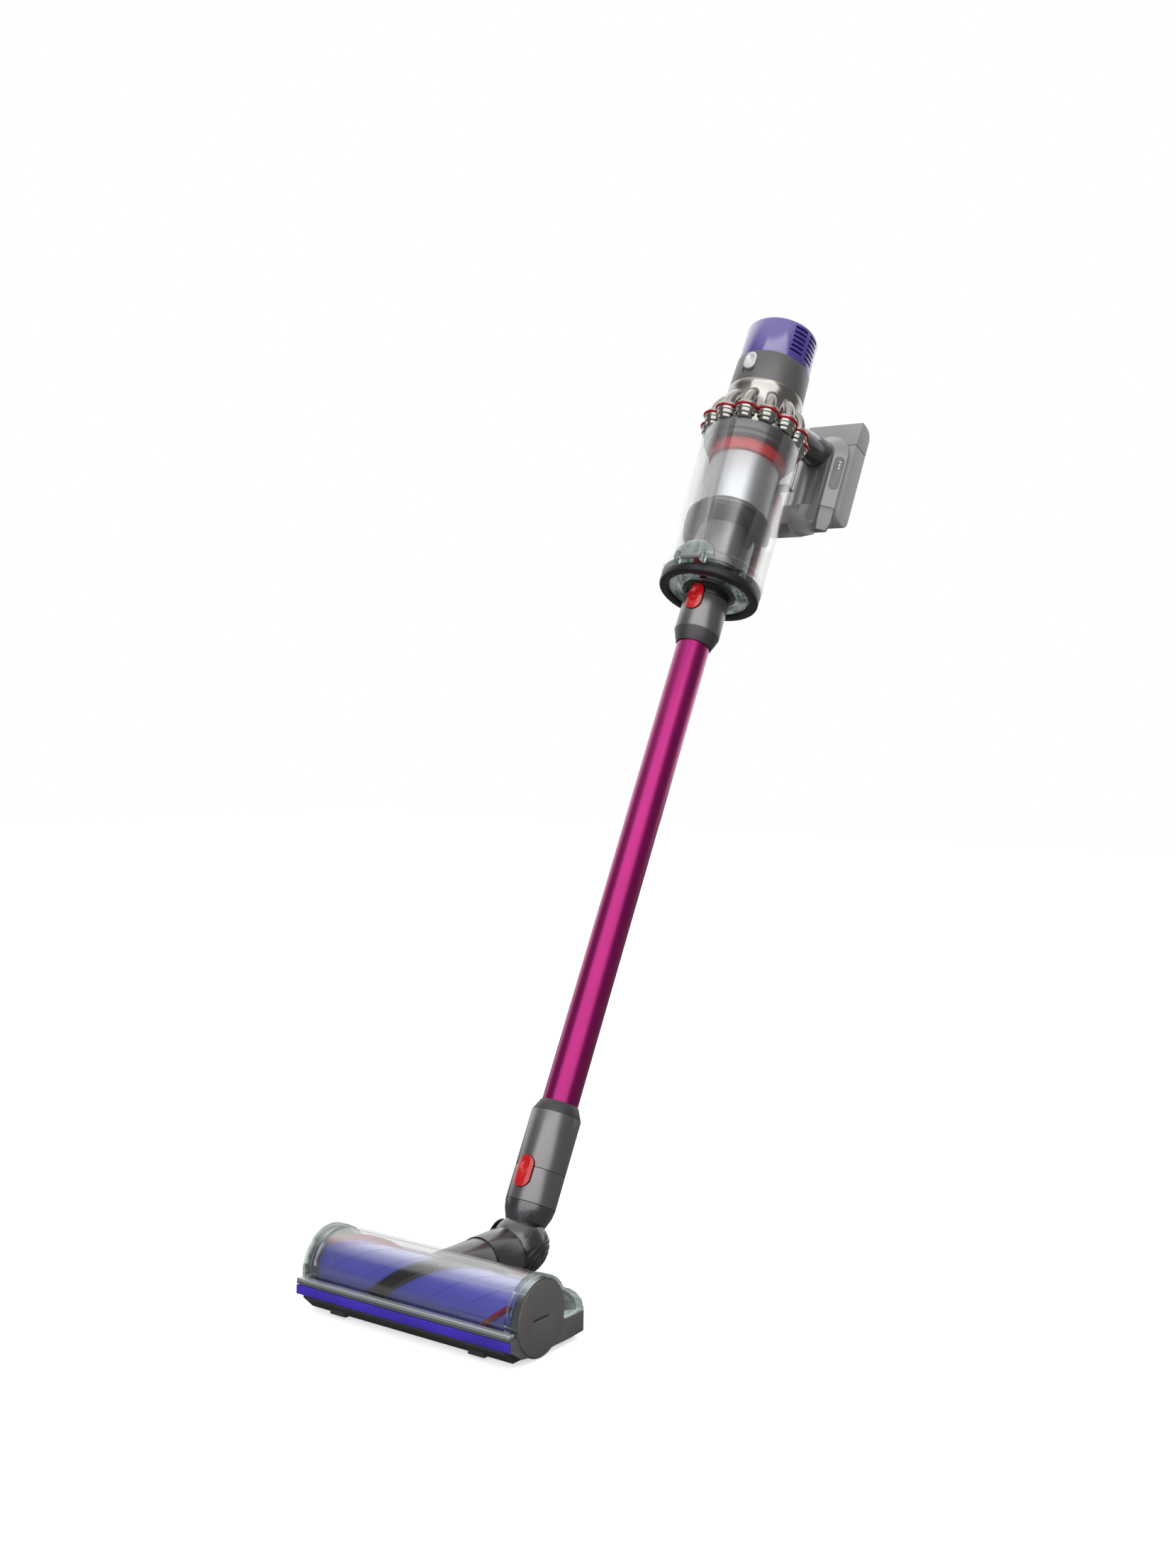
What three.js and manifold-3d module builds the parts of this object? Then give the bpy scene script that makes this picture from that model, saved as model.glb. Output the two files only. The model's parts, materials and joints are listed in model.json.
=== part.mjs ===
// Cordless stick vacuum cleaner: a motor head on wheels, a folding neck, a metal wand, and a hand-held
// machine with a clear bin, a ring of cyclones, a motor, a filter, a handle and a battery.
// Millimetres, +Z up. The brush roller lies along X and the front of the head faces -Y.
// The machine leans back about the elbow, and its own Z runs up the wand.
import * as THREE from 'three';
import { mergeVertices } from 'three/addons/utils/BufferGeometryUtils.js';
import Module from 'manifold-3d';

const wasm = await Module();
wasm.setup();

// ---- driving dimensions -------------------------------------------------------------------------
const GAP = 0.35; // clearance between two pieces that touch
const SLIDE = 0.6; // clearance round a piece that moves

const head = {
  width: 250, cheek: 6, rollerHeight: 35.9, bristleRadius: 34, coreRadius: 27.5, coreWall: 3.5,
  chamberGap: 1.2, coverWall: 1.8, soleBottom: 3.4, soleTop: 8, back: 65, backHeight: 24.8,
  front: 43.2, beamBottom: 17, beamTop: 27.2, feltThick: 2.4, wheelRadius: 5.5, wheelWidth: 8,
};
const neck = { side: -21.7, height: 31, radius: 24, wall: 3.5, start: 44, ring: 97, ballDistance: 158 };
const ball = { radius: 31, wall: 3, height: 34.5, slot: 22.9, pinRadius: 4 };
const lean = THREE.MathUtils.degToRad(27);
const stemLength = 74.4; // from the elbow's axis to the seam between head and wand
const stemSetBack = 2.5; // the wand's axis passes this far behind the elbow's axis
const wand = { radius: 19, wall: 1.6, collarRadius: 26, length: 665.3, bore: 15.5, plug: 20.4, engage: 24 };
const button = { width: 19, height: 32, travel: 3, proud: 1.9 };
const bin = { radius: 58.5, wall: 2, bottom: 690.4, top: 879, duct: 35.5, ductWall: 2.5, nozzle: 30.8 };
const cyclone = { count: 13, phase: -12, ringRadius: 52, lobe: 13.3, bottom: 880.2, gasket: 894, caps: 903,
  hub: 944.8 };
const motorBody = { radius: 45.5, wall: 5, top: 984.5, filterRadius: 43.5, filterTop: 1036.5 };
const handle = { slabHalf: 39, slabFront: 165, slabBack: 193, slabBottom: 880, slabTop: 1028, seam: 991,
  spineHalf: 22, bandHalf: 30, spineFront: 146, bandBottom: 893, bandTop: 1004, gripRadius: 19,
  gripFront: 57, gripLow: 938, gripRise: 19, strutHalf: 20 };

// ---- materials ----------------------------------------------------------------------------------
const look = (color, roughness, metalness = 0) => ({ color, roughness, metalness });
const SATIN_GREY = look(0x77757a, 0.4, 0.5);
const DARK_GREY = look(0x4c494e, 0.4, 0.5);
const MATTE_GREY = look(0x84837f, 0.6);
const BLACK = look(0x151516, 0.7);
const RED = look(0xc9141c, 0.35);
const CLEAR = look(0xdde6e6, 0.1);
const NICKEL = look(0xa9a39c, 0.2, 0.9);
const PURPLE = look(0x5546a8, 0.45);
const MAGENTA = look(0xb8107a, 0.3, 0.7);
const BLUE_VIOLET = look(0x5f62d6, 0.35);
const FELT = look(0x3b32b0, 0.95);
const SILVER = look(0xb9bbbf, 0.4, 0.8);

// ---- solids -------------------------------------------------------------------------------------
function toSolid(geometry) {
  const bare = geometry.clone();
  bare.deleteAttribute('normal');
  bare.deleteAttribute('uv');
  const merged = mergeVertices(bare, 1e-4);
  const index = merged.index.array;
  const triangles = [];
  for (let i = 0; i < index.length; i += 3) {
    const corners = [index[i], index[i + 1], index[i + 2]];
    if (new Set(corners).size === 3) triangles.push(...corners);
  }
  const vertProperties = new Float32Array(merged.attributes.position.array);
  return new wasm.Manifold(new wasm.Mesh({ numProp: 3, vertProperties, triVerts: new Uint32Array(triangles) }));
}

function fromSolid(solid) {
  const mesh = solid.getMesh();
  const geometry = new THREE.BufferGeometry();
  geometry.setAttribute('position', new THREE.BufferAttribute(mesh.vertProperties, 3));
  geometry.setIndex(new THREE.BufferAttribute(mesh.triVerts, 1));
  return geometry;
}

const join = (first, ...rest) => fromSolid(rest.reduce((sum, next) => sum.add(toSolid(next)), toSolid(first)));
const cut = (first, ...rest) => fromSolid(rest.reduce((sum, next) => sum.subtract(toSolid(next)), toSolid(first)));
const common = (first, second) => fromSolid(toSolid(first).intersect(toSolid(second)));

// A solid of revolution about Z from [radius, height] points.
function revolve(points, segments = 32) {
  const profile = points.map(([radius, height]) => new THREE.Vector2(radius, height));
  if (THREE.ShapeUtils.area(profile) < 0) profile.reverse();
  return new THREE.LatheGeometry(profile, segments).rotateX(Math.PI / 2);
}

const tube = (inner, outer, from, to, segments) =>
  revolve([[inner, from], [outer, from], [outer, to], [inner, to], [inner, from]], segments);
const rod = (radius, from, to, segments) =>
  revolve([[0, from], [radius, from], [radius, to], [0, to]], segments);
const box = (x0, x1, y0, y1, z0, z1) =>
  new THREE.BoxGeometry(x1 - x0, y1 - y0, z1 - z0).translate((x0 + x1) / 2, (y0 + y1) / 2, (z0 + z1) / 2);
const alongX = (geometry) => geometry.rotateY(Math.PI / 2);
const alongY = (geometry) => geometry.rotateX(-Math.PI / 2);
const outline = (points) => new THREE.Shape(points.map(([x, y]) => new THREE.Vector2(x, y)));

// Extrudes an outline drawn in Y and Z along X.
function acrossX(shape, from, to, curveSegments = 8) {
  const turn = new THREE.Matrix4().makeBasis(
    new THREE.Vector3(0, 1, 0), new THREE.Vector3(0, 0, 1), new THREE.Vector3(1, 0, 0));
  const solid = new THREE.ExtrudeGeometry(shape, { depth: to - from, bevelEnabled: false, curveSegments });
  return solid.applyMatrix4(turn).translate(from, 0, 0);
}

// Extrudes an outline drawn in X and Z along Y.
function acrossY(shape, from, to, curveSegments = 8) {
  const solid = new THREE.ExtrudeGeometry(shape, { depth: to - from, bevelEnabled: false, curveSegments });
  return solid.rotateX(Math.PI / 2).translate(0, to, 0);
}

function upZ(shape, from, to, curveSegments = 8) {
  const solid = new THREE.ExtrudeGeometry(shape, { depth: to - from, bevelEnabled: false, curveSegments });
  return solid.translate(0, 0, from);
}

// A rounded rectangle about a centre; a radius of half its width makes a racetrack.
function roundedPlate(cx, cy, width, height, radius) {
  const [x0, x1, y0, y1] = [cx - width / 2, cx + width / 2, cy - height / 2, cy + height / 2];
  const shape = new THREE.Shape();
  shape.moveTo(x1, y0 + radius);
  shape.lineTo(x1, y1 - radius);
  shape.absarc(x1 - radius, y1 - radius, radius, 0, Math.PI / 2, false);
  if (width > 2 * radius) shape.lineTo(x0 + radius, y1);
  shape.absarc(x0 + radius, y1 - radius, radius, Math.PI / 2, Math.PI, false);
  shape.lineTo(x0, y0 + radius);
  shape.absarc(x0 + radius, y0 + radius, radius, Math.PI, 1.5 * Math.PI, false);
  if (width > 2 * radius) shape.lineTo(x1 - radius, y0);
  shape.absarc(x1 - radius, y0 + radius, radius, 1.5 * Math.PI, 2 * Math.PI, false);
  return shape;
}

function arcBand(cy, cz, inner, outer, fromDegrees, toDegrees) {
  const from = THREE.MathUtils.degToRad(fromDegrees);
  const to = THREE.MathUtils.degToRad(toDegrees);
  const shape = new THREE.Shape();
  shape.absarc(cy, cz, outer, from, to, false);
  shape.absarc(cy, cz, inner, to, from, true);
  return shape;
}

function piece(parent, name, geometry, { color, roughness, metalness }) {
  const mesh = new THREE.Mesh(geometry, new THREE.MeshStandardMaterial({ color, roughness, metalness }));
  mesh.name = name;
  parent.add(mesh);
  return mesh;
}

function group(parent, x = 0, y = 0, z = 0) {
  const made = new THREE.Group();
  made.position.set(x, y, z);
  parent.add(made);
  return made;
}

// ---- cleaner head -------------------------------------------------------------------------------
const halfWidth = head.width / 2;
const inside = halfWidth - head.cheek; // inner face of each cheek
const chamber = head.bristleRadius + head.chamberGap;
const coverOuter = chamber + head.coverWall;
const neckHole = () =>
  alongY(rod(neck.radius + GAP, neck.start - GAP, neck.ring, 32)).translate(neck.side, 0, neck.height);
const airway = () =>
  alongY(rod(neck.radius - neck.wall, 0, neck.ring, 24)).translate(neck.side, 0, neck.height);
const bristleLeft = -inside + 6;
const bristleRight = inside - 8;
const coverFrom = 31; // degrees about the roller, from the rear over the top
const coverTo = 188; // to the front bar

function cheekOutline() {
  return outline([[-head.front, 18.2], [-26.5, 6.9], [-14.7, 5.4], [head.back - 20, 5.4], [head.back, 6.5],
    [head.back, head.backHeight], [-28, head.backHeight - 1], [-33, head.beamTop], [-head.front, head.beamTop]]);
}

function cheek(from, to) {
  const disc = alongX(rod(chamber - GAP, from, to, 40)).translate(0, 0, head.rollerHeight);
  return join(acrossX(cheekOutline(), from, to), disc);
}

function headHousing() {
  const z = head.rollerHeight;
  const rearBlock = acrossX(outline([[36.6, head.soleTop + GAP], [head.back - 0.5, head.soleTop + GAP],
    [head.back - 0.5, head.backHeight], [33, head.backHeight], [31.5, 20]]), -inside - 1, inside + 1);
  const rearWall = acrossX(arcBand(0, z, chamber, coverOuter, -32, coverFrom - 1), -inside - 1, inside + 1);
  const frontBeam = acrossX(outline([[-head.front, head.beamBottom], [-37.5, head.beamBottom - 2.5],
    [-37.5, head.beamTop], [-head.front, head.beamTop]]), -inside - 1, inside + 1);
  const capSeat = alongX(rod(end.radius + GAP, inside - 2, halfWidth + 2, 40)).translate(0, 0, z);
  const pockets = wheelPlaces.filter(([, y]) => y > 0).map(([x, y]) =>
    box(x - 5.4, x + 5.4, y - 7, y + 7, 0, 2 * head.wheelRadius + 1.5));
  const chamberSpace = alongX(rod(chamber, -inside, inside, 40)).translate(0, 0, z);
  const body = join(rearBlock, rearWall, frontBeam, cheek(-halfWidth, -inside), cheek(inside, halfWidth));
  return cut(body, chamberSpace, capSeat, neckHole(), airway(), ...pockets);
}

const wheelPlaces = [[-82, -27], [82, -27], [-62, 50], [62, 50]];
const wheelNames = ['wheel_front_left', 'wheel_front_right', 'wheel_rear_left', 'wheel_rear_right'];
const wheelPin = { radius: 1.1, half: 6.5 };
const end = { radius: 33.4, proud: 1.2, spigot: 7.7, slot: 24.7, slotWidth: 2.4 };

function soleplate() {
  const frame = join(
    acrossX(outline([[-head.front, head.beamBottom - 2.4], [-31, head.soleBottom], [-26, head.soleBottom],
      [-26, head.soleTop], [-30.5, 10], [-37.5, head.beamBottom - 2.5 - GAP],
      [-head.front, head.beamBottom - GAP]]), -inside + GAP, inside - GAP),
    box(-inside + GAP, inside - GAP, 33, head.back - 1, head.soleBottom, head.soleTop),
    box(-inside + GAP, bristleLeft, -31, 34, head.soleBottom, head.soleTop),
    box(bristleRight, inside - GAP, -31, 34, head.soleBottom, head.soleTop),
    ...wheelPlaces.map(([x, y]) => box(x - 9, x + 9, y - 9, y + 8, head.soleBottom, head.soleTop)));
  const wheelSlots = wheelPlaces.map(([x, y]) =>
    box(x - head.wheelWidth / 2 - SLIDE, x + head.wheelWidth / 2 + SLIDE, y - 6.3, y + 6.3, 0, 20));
  const pinHoles = wheelPlaces.map(([x, y]) =>
    alongX(rod(wheelPin.radius + 0.3, -wheelPin.half - 0.3, wheelPin.half + 0.3, 12))
      .translate(x, y, head.wheelRadius));
  const roller = alongX(rod(chamber, bristleLeft - SLIDE, bristleRight + SLIDE, 48))
    .translate(0, 0, head.rollerHeight);
  return cut(frame, neckHole(), roller, ...wheelSlots, ...pinHoles);
}

function clearCover() {
  const z = head.rollerHeight;
  const shell = acrossX(arcBand(0, z, chamber, coverOuter, coverFrom, coverTo), -inside, inside, 20);
  const rim = (from, to) => acrossX(arcBand(0, z, chamber, coverOuter + 0.6, coverFrom, coverTo), from, to, 20);
  return join(shell, rim(-halfWidth - 0.6, -inside + 1), rim(inside - 1, halfWidth + 0.6));
}

function rearWindow() {
  const outer = [[coverOuter + 0.6, head.backHeight + GAP], [head.back + 0.6, head.backHeight + GAP],
    [head.back - 3.5, 36], [52.4, 44.9], [42, 51], [32.5, 54.3]];
  const inner = [[coverOuter - 2, head.backHeight - 3], [head.back - 1.8, head.backHeight - 3],
    [head.back - 5.8, 35], [51, 42.8], [41, 48.8], [30, 52.2]];
  const roller = alongX(rod(coverOuter + GAP, -halfWidth - 3, halfWidth + 3, 40))
    .translate(0, 0, head.rollerHeight);
  return cut(acrossX(outline(outer), -halfWidth, halfWidth), acrossX(outline(inner), -inside, inside),
    roller, neckHole());
}

function brushCore() {
  const bore = head.coreRadius - head.coreWall;
  const web = 26; // the drive web sits this far right of the middle
  return alongX(revolve([[0, web], [bore, web], [bore, -inside + 4], [head.coreRadius, -inside + 4],
    [head.coreRadius, inside - 6], [bore, inside - 6], [bore, web + 5], [0, web + 5]], 32));
}

// A bristle strip that winds round the roller.
function bristleStrip(startDegrees, widthDegrees, turnDegrees = 325, steps = 30) {
  const columns = Math.ceil(widthDegrees / 9);
  const section = [];
  for (let i = 0; i <= columns; i++) section.push([head.coreRadius + 0.35, i / columns - 0.5]);
  for (let i = columns; i >= 0; i--) section.push([head.bristleRadius, 0.8 * (i / columns - 0.5)]);
  const count = section.length;
  const positions = [];
  const index = [];
  for (let i = 0; i <= steps; i++) {
    for (const [radius, side] of section) {
      const angle = THREE.MathUtils.degToRad(startDegrees + (turnDegrees * i) / steps + widthDegrees * side);
      positions.push(bristleLeft + ((bristleRight - bristleLeft) * i) / steps,
        radius * Math.sin(angle), radius * Math.cos(angle));
    }
  }
  for (let i = 0; i < steps; i++) {
    for (let j = 0; j < count; j++) {
      const [a, b] = [count * i + j, count * i + ((j + 1) % count)];
      index.push(a, b, a + count, b, b + count, a + count);
    }
  }
  const last = count * steps;
  for (let j = 0; j < columns; j++) {
    const [a, b, c, d] = [j, j + 1, count - 2 - j, count - 1 - j];
    index.push(a, c, b, a, d, c, last + a, last + b, last + c, last + a, last + c, last + d);
  }
  const geometry = new THREE.BufferGeometry();
  geometry.setAttribute('position', new THREE.Float32BufferAttribute(positions, 3));
  geometry.setIndex(index);
  return geometry;
}

function endCap() {
  const disc = rod(end.radius, inside + GAP, halfWidth + end.proud, 40);
  const spigot = rod(end.spigot, inside - 14, inside + 1, 20);
  const slot = box(inside + 3, halfWidth + 5, -end.slot / 2, end.slot / 2, -end.slotWidth / 2, end.slotWidth / 2);
  return cut(join(alongX(disc), alongX(spigot)), slot);
}

function wheel() {
  const tyre = alongX(rod(head.wheelRadius, -head.wheelWidth / 2, head.wheelWidth / 2, 20));
  return join(tyre, alongX(rod(wheelPin.radius, -wheelPin.half, wheelPin.half, 12)));
}

function buildHead(parent) {
  const z = head.rollerHeight;
  piece(parent, 'head_housing', headHousing(), MATTE_GREY);
  piece(parent, 'soleplate', soleplate(), DARK_GREY);
  piece(parent, 'clear_cover', clearCover(), CLEAR);
  piece(parent, 'rear_window', rearWindow(), CLEAR);
  piece(parent, 'front_bar', acrossX(roundedPlate(-41.95, 30.2, 7.9, 5.2, 2), -halfWidth - 0.6, halfWidth + 0.6),
    MATTE_GREY);
  piece(parent, 'front_felt', box(-halfWidth - 0.6, halfWidth + 0.6, -head.front - GAP - head.feltThick,
    -head.front - GAP, head.beamBottom + 0.6, head.beamTop - 0.8), FELT);
  piece(parent, 'rear_felt', box(-inside + 4, inside - 4, 57, head.back - 2, 1.8, head.soleBottom - GAP), FELT);
  const motor = { radius: 20, from: -inside + GAP, to: 22 };
  piece(parent, 'brush_motor', alongX(rod(motor.radius, motor.from, motor.to, 24)), DARK_GREY).position.z = z;
  const roller = group(parent, 0, 0, z);
  piece(roller, 'brush_core', brushCore(), BLUE_VIOLET);
  const seat = head.coreRadius - head.coreWall - GAP;
  piece(roller, 'brush_bearing', alongX(tube(end.spigot + GAP, seat, inside - 13, inside - 7, 24)), SILVER);
  piece(roller, 'black_bristle', bristleStrip(-203, 34), BLACK);
  piece(roller, 'red_bristle', bristleStrip(-28, 9), RED);
  piece(roller, 'end_cap', endCap(), MATTE_GREY);
  wheelPlaces.forEach(([x, y], i) => {
    piece(parent, wheelNames[i], wheel(), BLACK).position.set(x, y, head.wheelRadius);
  });
}

// ---- neck and elbow -----------------------------------------------------------------------------
const sphere = (radius) => new THREE.SphereGeometry(radius, 26, 14).rotateX(Math.PI / 2);

function slotWedge() {
  // the space that the stem sweeps, open at the top and the rear of the ball
  const shape = new THREE.Shape();
  shape.moveTo(0, 0);
  shape.absarc(0, 0, 80, THREE.MathUtils.degToRad(-42), THREE.MathUtils.degToRad(140), false);
  shape.lineTo(0, 0);
  return acrossX(shape, -ball.slot, ball.slot, 10);
}

function elbowShells() {
  const bore = alongY(rod(neck.radius - neck.wall - 2, -60, 0, 24)).translate(0, 0, neck.height - ball.height);
  const shell = cut(sphere(ball.radius), sphere(ball.radius - ball.wall), slotWedge(), bore);
  const front = box(-60, 60, -60, 9, -60, 60).rotateX(lean / 2);
  const rear = box(-60, 60, 9 + GAP, 60, -60, 60).rotateX(lean / 2);
  return { hood: common(shell, front), ribs: common(shell, rear) };
}

function buildNeck(parent) {
  const middle = group(parent, neck.side, 0, neck.height);
  const bore = neck.radius - neck.wall;
  piece(middle, 'neck_tube', alongY(tube(bore, neck.radius, neck.start, neck.ring - GAP, 32)), DARK_GREY);
  const ballSpace = sphere(ball.radius + GAP).translate(0, neck.ballDistance, ball.height - neck.height);
  const collar = alongY(tube(bore, neck.radius + 1, neck.ring, neck.ballDistance - 18, 32));
  piece(middle, 'neck_collar', cut(collar, ballSpace), DARK_GREY);
  const elbow = group(parent, neck.side, neck.ballDistance, ball.height);
  const { hood, ribs } = elbowShells();
  piece(elbow, 'elbow_hood', hood, SATIN_GREY);
  piece(elbow, 'elbow_ribs', ribs, BLACK);
  const pinFrom = ball.slot - 7;
  const pinTo = ball.radius - ball.wall - GAP - 0.4;
  piece(elbow, 'fold_pin_left', alongX(rod(ball.pinRadius, -pinTo, -pinFrom, 16)), SILVER);
  piece(elbow, 'fold_pin_right', alongX(rod(ball.pinRadius, pinFrom, pinTo, 16)), SILVER);
  return elbow;
}

// The barrel turns inside the elbow's shells, and the stem rises from it to the wand.
function stem() {
  const barrelRadius = ball.radius - ball.wall - SLIDE;
  const slab = box(-ball.slot + SLIDE, ball.slot - SLIDE, -60, 60, -60, 60);
  const barrel = common(sphere(barrelRadius), slab).translate(0, -stemSetBack, -stemLength);
  const cone = revolve([[0, -58], [18.5, -58], [21.8, -50], [24.5, -43], [wand.collarRadius, -34.8],
    [0, -34.8]], 32);
  const bore = rod(wand.bore, -stemLength - stemSetBack, 0, 24);
  const outlet = alongY(rod(neck.radius - neck.wall - 3, -60, 0, 24)).rotateX(lean)
    .translate(0, -stemSetBack, -stemLength);
  const pins = alongX(rod(ball.pinRadius + 0.3, -60, 60, 16)).translate(0, -stemSetBack, -stemLength);
  return cut(join(barrel, cone), bore, outlet, pins);
}

// ---- wand ---------------------------------------------------------------------------------------
const pocketFloor = wand.collarRadius - button.travel - 0.8;
const buttonPlan = (x, z, margin) =>
  roundedPlate(x, z, button.width + 2 * margin, button.height + 2 * margin, button.width / 2 + margin);
const buttonPocket = (x, z) => acrossY(buttonPlan(x, z, SLIDE), -wand.collarRadius - 9, -pocketFloor);
const lowerButton = { x: -1, z: -6.4 };
const upperButton = { x: 1, z: wand.length - 7.3 };

function pressButton({ x, z }) {
  const face = wand.collarRadius + button.proud;
  const cap = rod(face, z - button.height / 2 - 1, z + button.height / 2 + 1, 64);
  return common(cap, acrossY(buttonPlan(x, z, 0), -face - 5, -pocketFloor - button.travel - GAP, 10));
}

function buildWand(parent) {
  const { radius, wall, collarRadius, length, bore, plug, engage } = wand;
  piece(parent, 'stem', stem(), DARK_GREY);
  const socket = tube(plug + GAP, collarRadius, -34.8 + GAP, -GAP / 2, 32);
  piece(parent, 'neck_socket', cut(socket, buttonPocket(lowerButton.x, lowerButton.z)), SATIN_GREY);
  piece(parent, 'head_release_button', pressButton(lowerButton), RED);
  const lowerCollar = revolve([[bore, -engage], [plug, -engage], [plug, GAP / 2], [collarRadius, GAP / 2],
    [collarRadius, 58], [radius + 1, 70.5], [radius + GAP, 70.5], [radius + GAP, engage], [bore, engage],
    [bore, -engage]], 32);
  piece(parent, 'wand_lower_collar', cut(lowerCollar, buttonPocket(lowerButton.x, lowerButton.z)), SATIN_GREY);
  const tubeTop = length - engage - GAP;
  piece(parent, 'wand_tube', tube(radius - wall, radius, engage + GAP, tubeTop, 40), MAGENTA);
  const upperCollar = revolve([[radius + GAP, length - 58.4], [radius + 1, length - 58.4],
    [collarRadius, length - 42.8], [collarRadius, length - GAP / 2], [plug + GAP, length - GAP / 2],
    [plug + GAP, length - engage + 4], [bore, length - engage + 4], [bore, length - engage],
    [radius + GAP, length - engage], [radius + GAP, length - 58.4]], 32);
  piece(parent, 'wand_upper_collar', cut(upperCollar, buttonPocket(upperButton.x, upperButton.z)), SATIN_GREY);
  piece(parent, 'wand_release_button', pressButton(upperButton), RED);
}

// ---- bin ----------------------------------------------------------------------------------------
function buildBin(parent) {
  const { radius, wall, bottom, top, duct, ductWall, nozzle } = bin;
  const { length, bore, plug, engage, collarRadius } = wand;
  const mouth = revolve([[bore, length - engage + 4 + GAP], [plug, length - engage + 4 + GAP],
    [plug, length + GAP / 2], [collarRadius + 0.3, length + GAP / 2], [collarRadius + 0.3, length + 9.4],
    [nozzle, length + 10.5], [nozzle, bottom - GAP], [bore, bottom - GAP],
    [bore, length - engage + 4 + GAP]], 32);
  piece(parent, 'inlet_nozzle', cut(mouth, buttonPocket(upperButton.x, upperButton.z)), DARK_GREY);
  const step = bottom - 4;
  const disc = revolve([[nozzle + GAP, step - 10], [46.5, step - 10], [46.5, step], [radius, step],
    [radius, bottom - GAP], [nozzle + GAP, bottom - GAP], [nozzle + GAP, step - 10]], 40);
  const catches = box(-8, 28, radius - 9, radius + 14, step, bottom - GAP);
  const lugs = box(-8, 28, radius + 2, radius + 14, step - 12, step + 1);
  piece(parent, 'bin_door', join(disc, catches, lugs), CLEAR);
  piece(parent, 'door_seal', tube(46.5 + GAP, radius, step - 15, step - GAP, 40), BLACK);
  const shell = revolve([[radius - wall, bottom], [radius + 1, bottom], [radius + 1, bottom + 9],
    [radius, bottom + 10.5], [radius, top], [radius - wall, top], [radius - wall, bottom]], 48);
  piece(parent, 'bin_shell', shell, CLEAR);
  const hingeY = -radius - 4;
  const hinge = alongX(rod(3.2, -6, 20, 16)).translate(0, hingeY, bottom - 2);
  piece(parent, 'door_hinge', hinge, SILVER);
  const rail = box(-9, 9, radius - 4, radius + 6, bottom + 12, top - 4);
  piece(parent, 'bin_runner', cut(rail, rod(radius + GAP, bottom, top, 48)), DARK_GREY);
  const lever = acrossX(roundedPlate(radius + 15, bottom + 143, 16, 56, 7), -7, 7);
  piece(parent, 'release_lever', lever, RED);
  piece(parent, 'inner_duct', revolve([[bore, bottom], [duct, bottom], [duct, bottom + 64],
    [duct - ductWall, bottom + 64], [duct - ductWall, bottom + 3], [bore, bottom + 3], [bore, bottom]], 36),
  SATIN_GREY);
  buildShroud(parent, bottom + 64 + GAP);
}

function buildShroud(parent, base) {
  const bore = bin.duct - bin.ductWall;
  const skirtTop = base + 18;
  piece(parent, 'shroud_skirt', revolve([[bore, base], [bin.duct, base], [50, base + 12], [50, skirtTop],
    [bore, skirtTop], [bore, base]], 36), BLACK);
  const ringTop = skirtTop + GAP + 9.5;
  piece(parent, 'shroud_ring', tube(bore, 44, skirtTop + GAP, ringTop, 36), SATIN_GREY);
  const meshTop = ringTop + GAP + 64.5;
  piece(parent, 'shroud_mesh', tube(38.5, 41, ringTop + GAP, meshTop, 36), SILVER);
  const sealTop = meshTop + GAP + 13.5;
  piece(parent, 'shroud_seal', tube(38.5, 45, meshTop + GAP, sealTop, 36), RED);
  const flange = revolve([[38.5, sealTop + GAP], [53, sealTop + GAP], [bin.radius - bin.wall - GAP, sealTop + 9],
    [bin.radius - bin.wall - GAP, bin.top], [38.5, bin.top], [38.5, sealTop + GAP]], 40);
  piece(parent, 'shroud_flange', flange, DARK_GREY);
}

// ---- cyclones, motor and filter -----------------------------------------------------------------
function lobes(make) {
  return Array.from({ length: cyclone.count }, (_, i) => {
    const turn = THREE.MathUtils.degToRad(cyclone.phase) + (2 * Math.PI * i) / cyclone.count;
    return make().rotateZ(turn);
  });
}

function buildCyclones(parent) {
  const { ringRadius, lobe, bottom, gasket, caps, hub } = cyclone;
  const inner = 38.5;
  const cup = () => revolve([[0, bottom], [lobe - 5.5, bottom], [lobe - 1, bottom + 6], [lobe, gasket - GAP],
    [0, gasket - GAP]], 16).translate(0, -ringRadius, 0);
  const centre = rod(inner, bottom - 5, hub + 5, 36);
  piece(parent, 'cyclone_cups', cut(join(rod(ringRadius + 2, bottom, gasket - GAP, 36), ...lobes(cup)), centre), NICKEL);
  const rim = () => rod(lobe + 1.8, gasket, gasket + 1.6, 12).translate(0, -ringRadius, 0);
  piece(parent, 'cyclone_gasket',
    cut(join(rod(ringRadius + 2, gasket, gasket + 1.6, 36), ...lobes(rim)), centre), RED);
  const capBase = gasket + 1.6 + GAP;
  const cap = () => rod(lobe, capBase, caps, 14).translate(0, -ringRadius, 0);
  const finger = () => acrossX(outline([[-41, caps - 2], [-61, caps - 2], [-61, caps + 6], [-56, caps + 20],
    [-49, caps + 31], [-41, caps + 35]]), -5.5, 5.5);
  const hubBody = revolve([[0, capBase], [ringRadius, capBase], [ringRadius, caps], [motorBody.radius, caps + 18],
    [motorBody.radius, hub], [0, hub]], 40);
  piece(parent, 'cyclone_caps', cut(join(hubBody, ...lobes(cap), ...lobes(finger)), centre), NICKEL);
}

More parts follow.
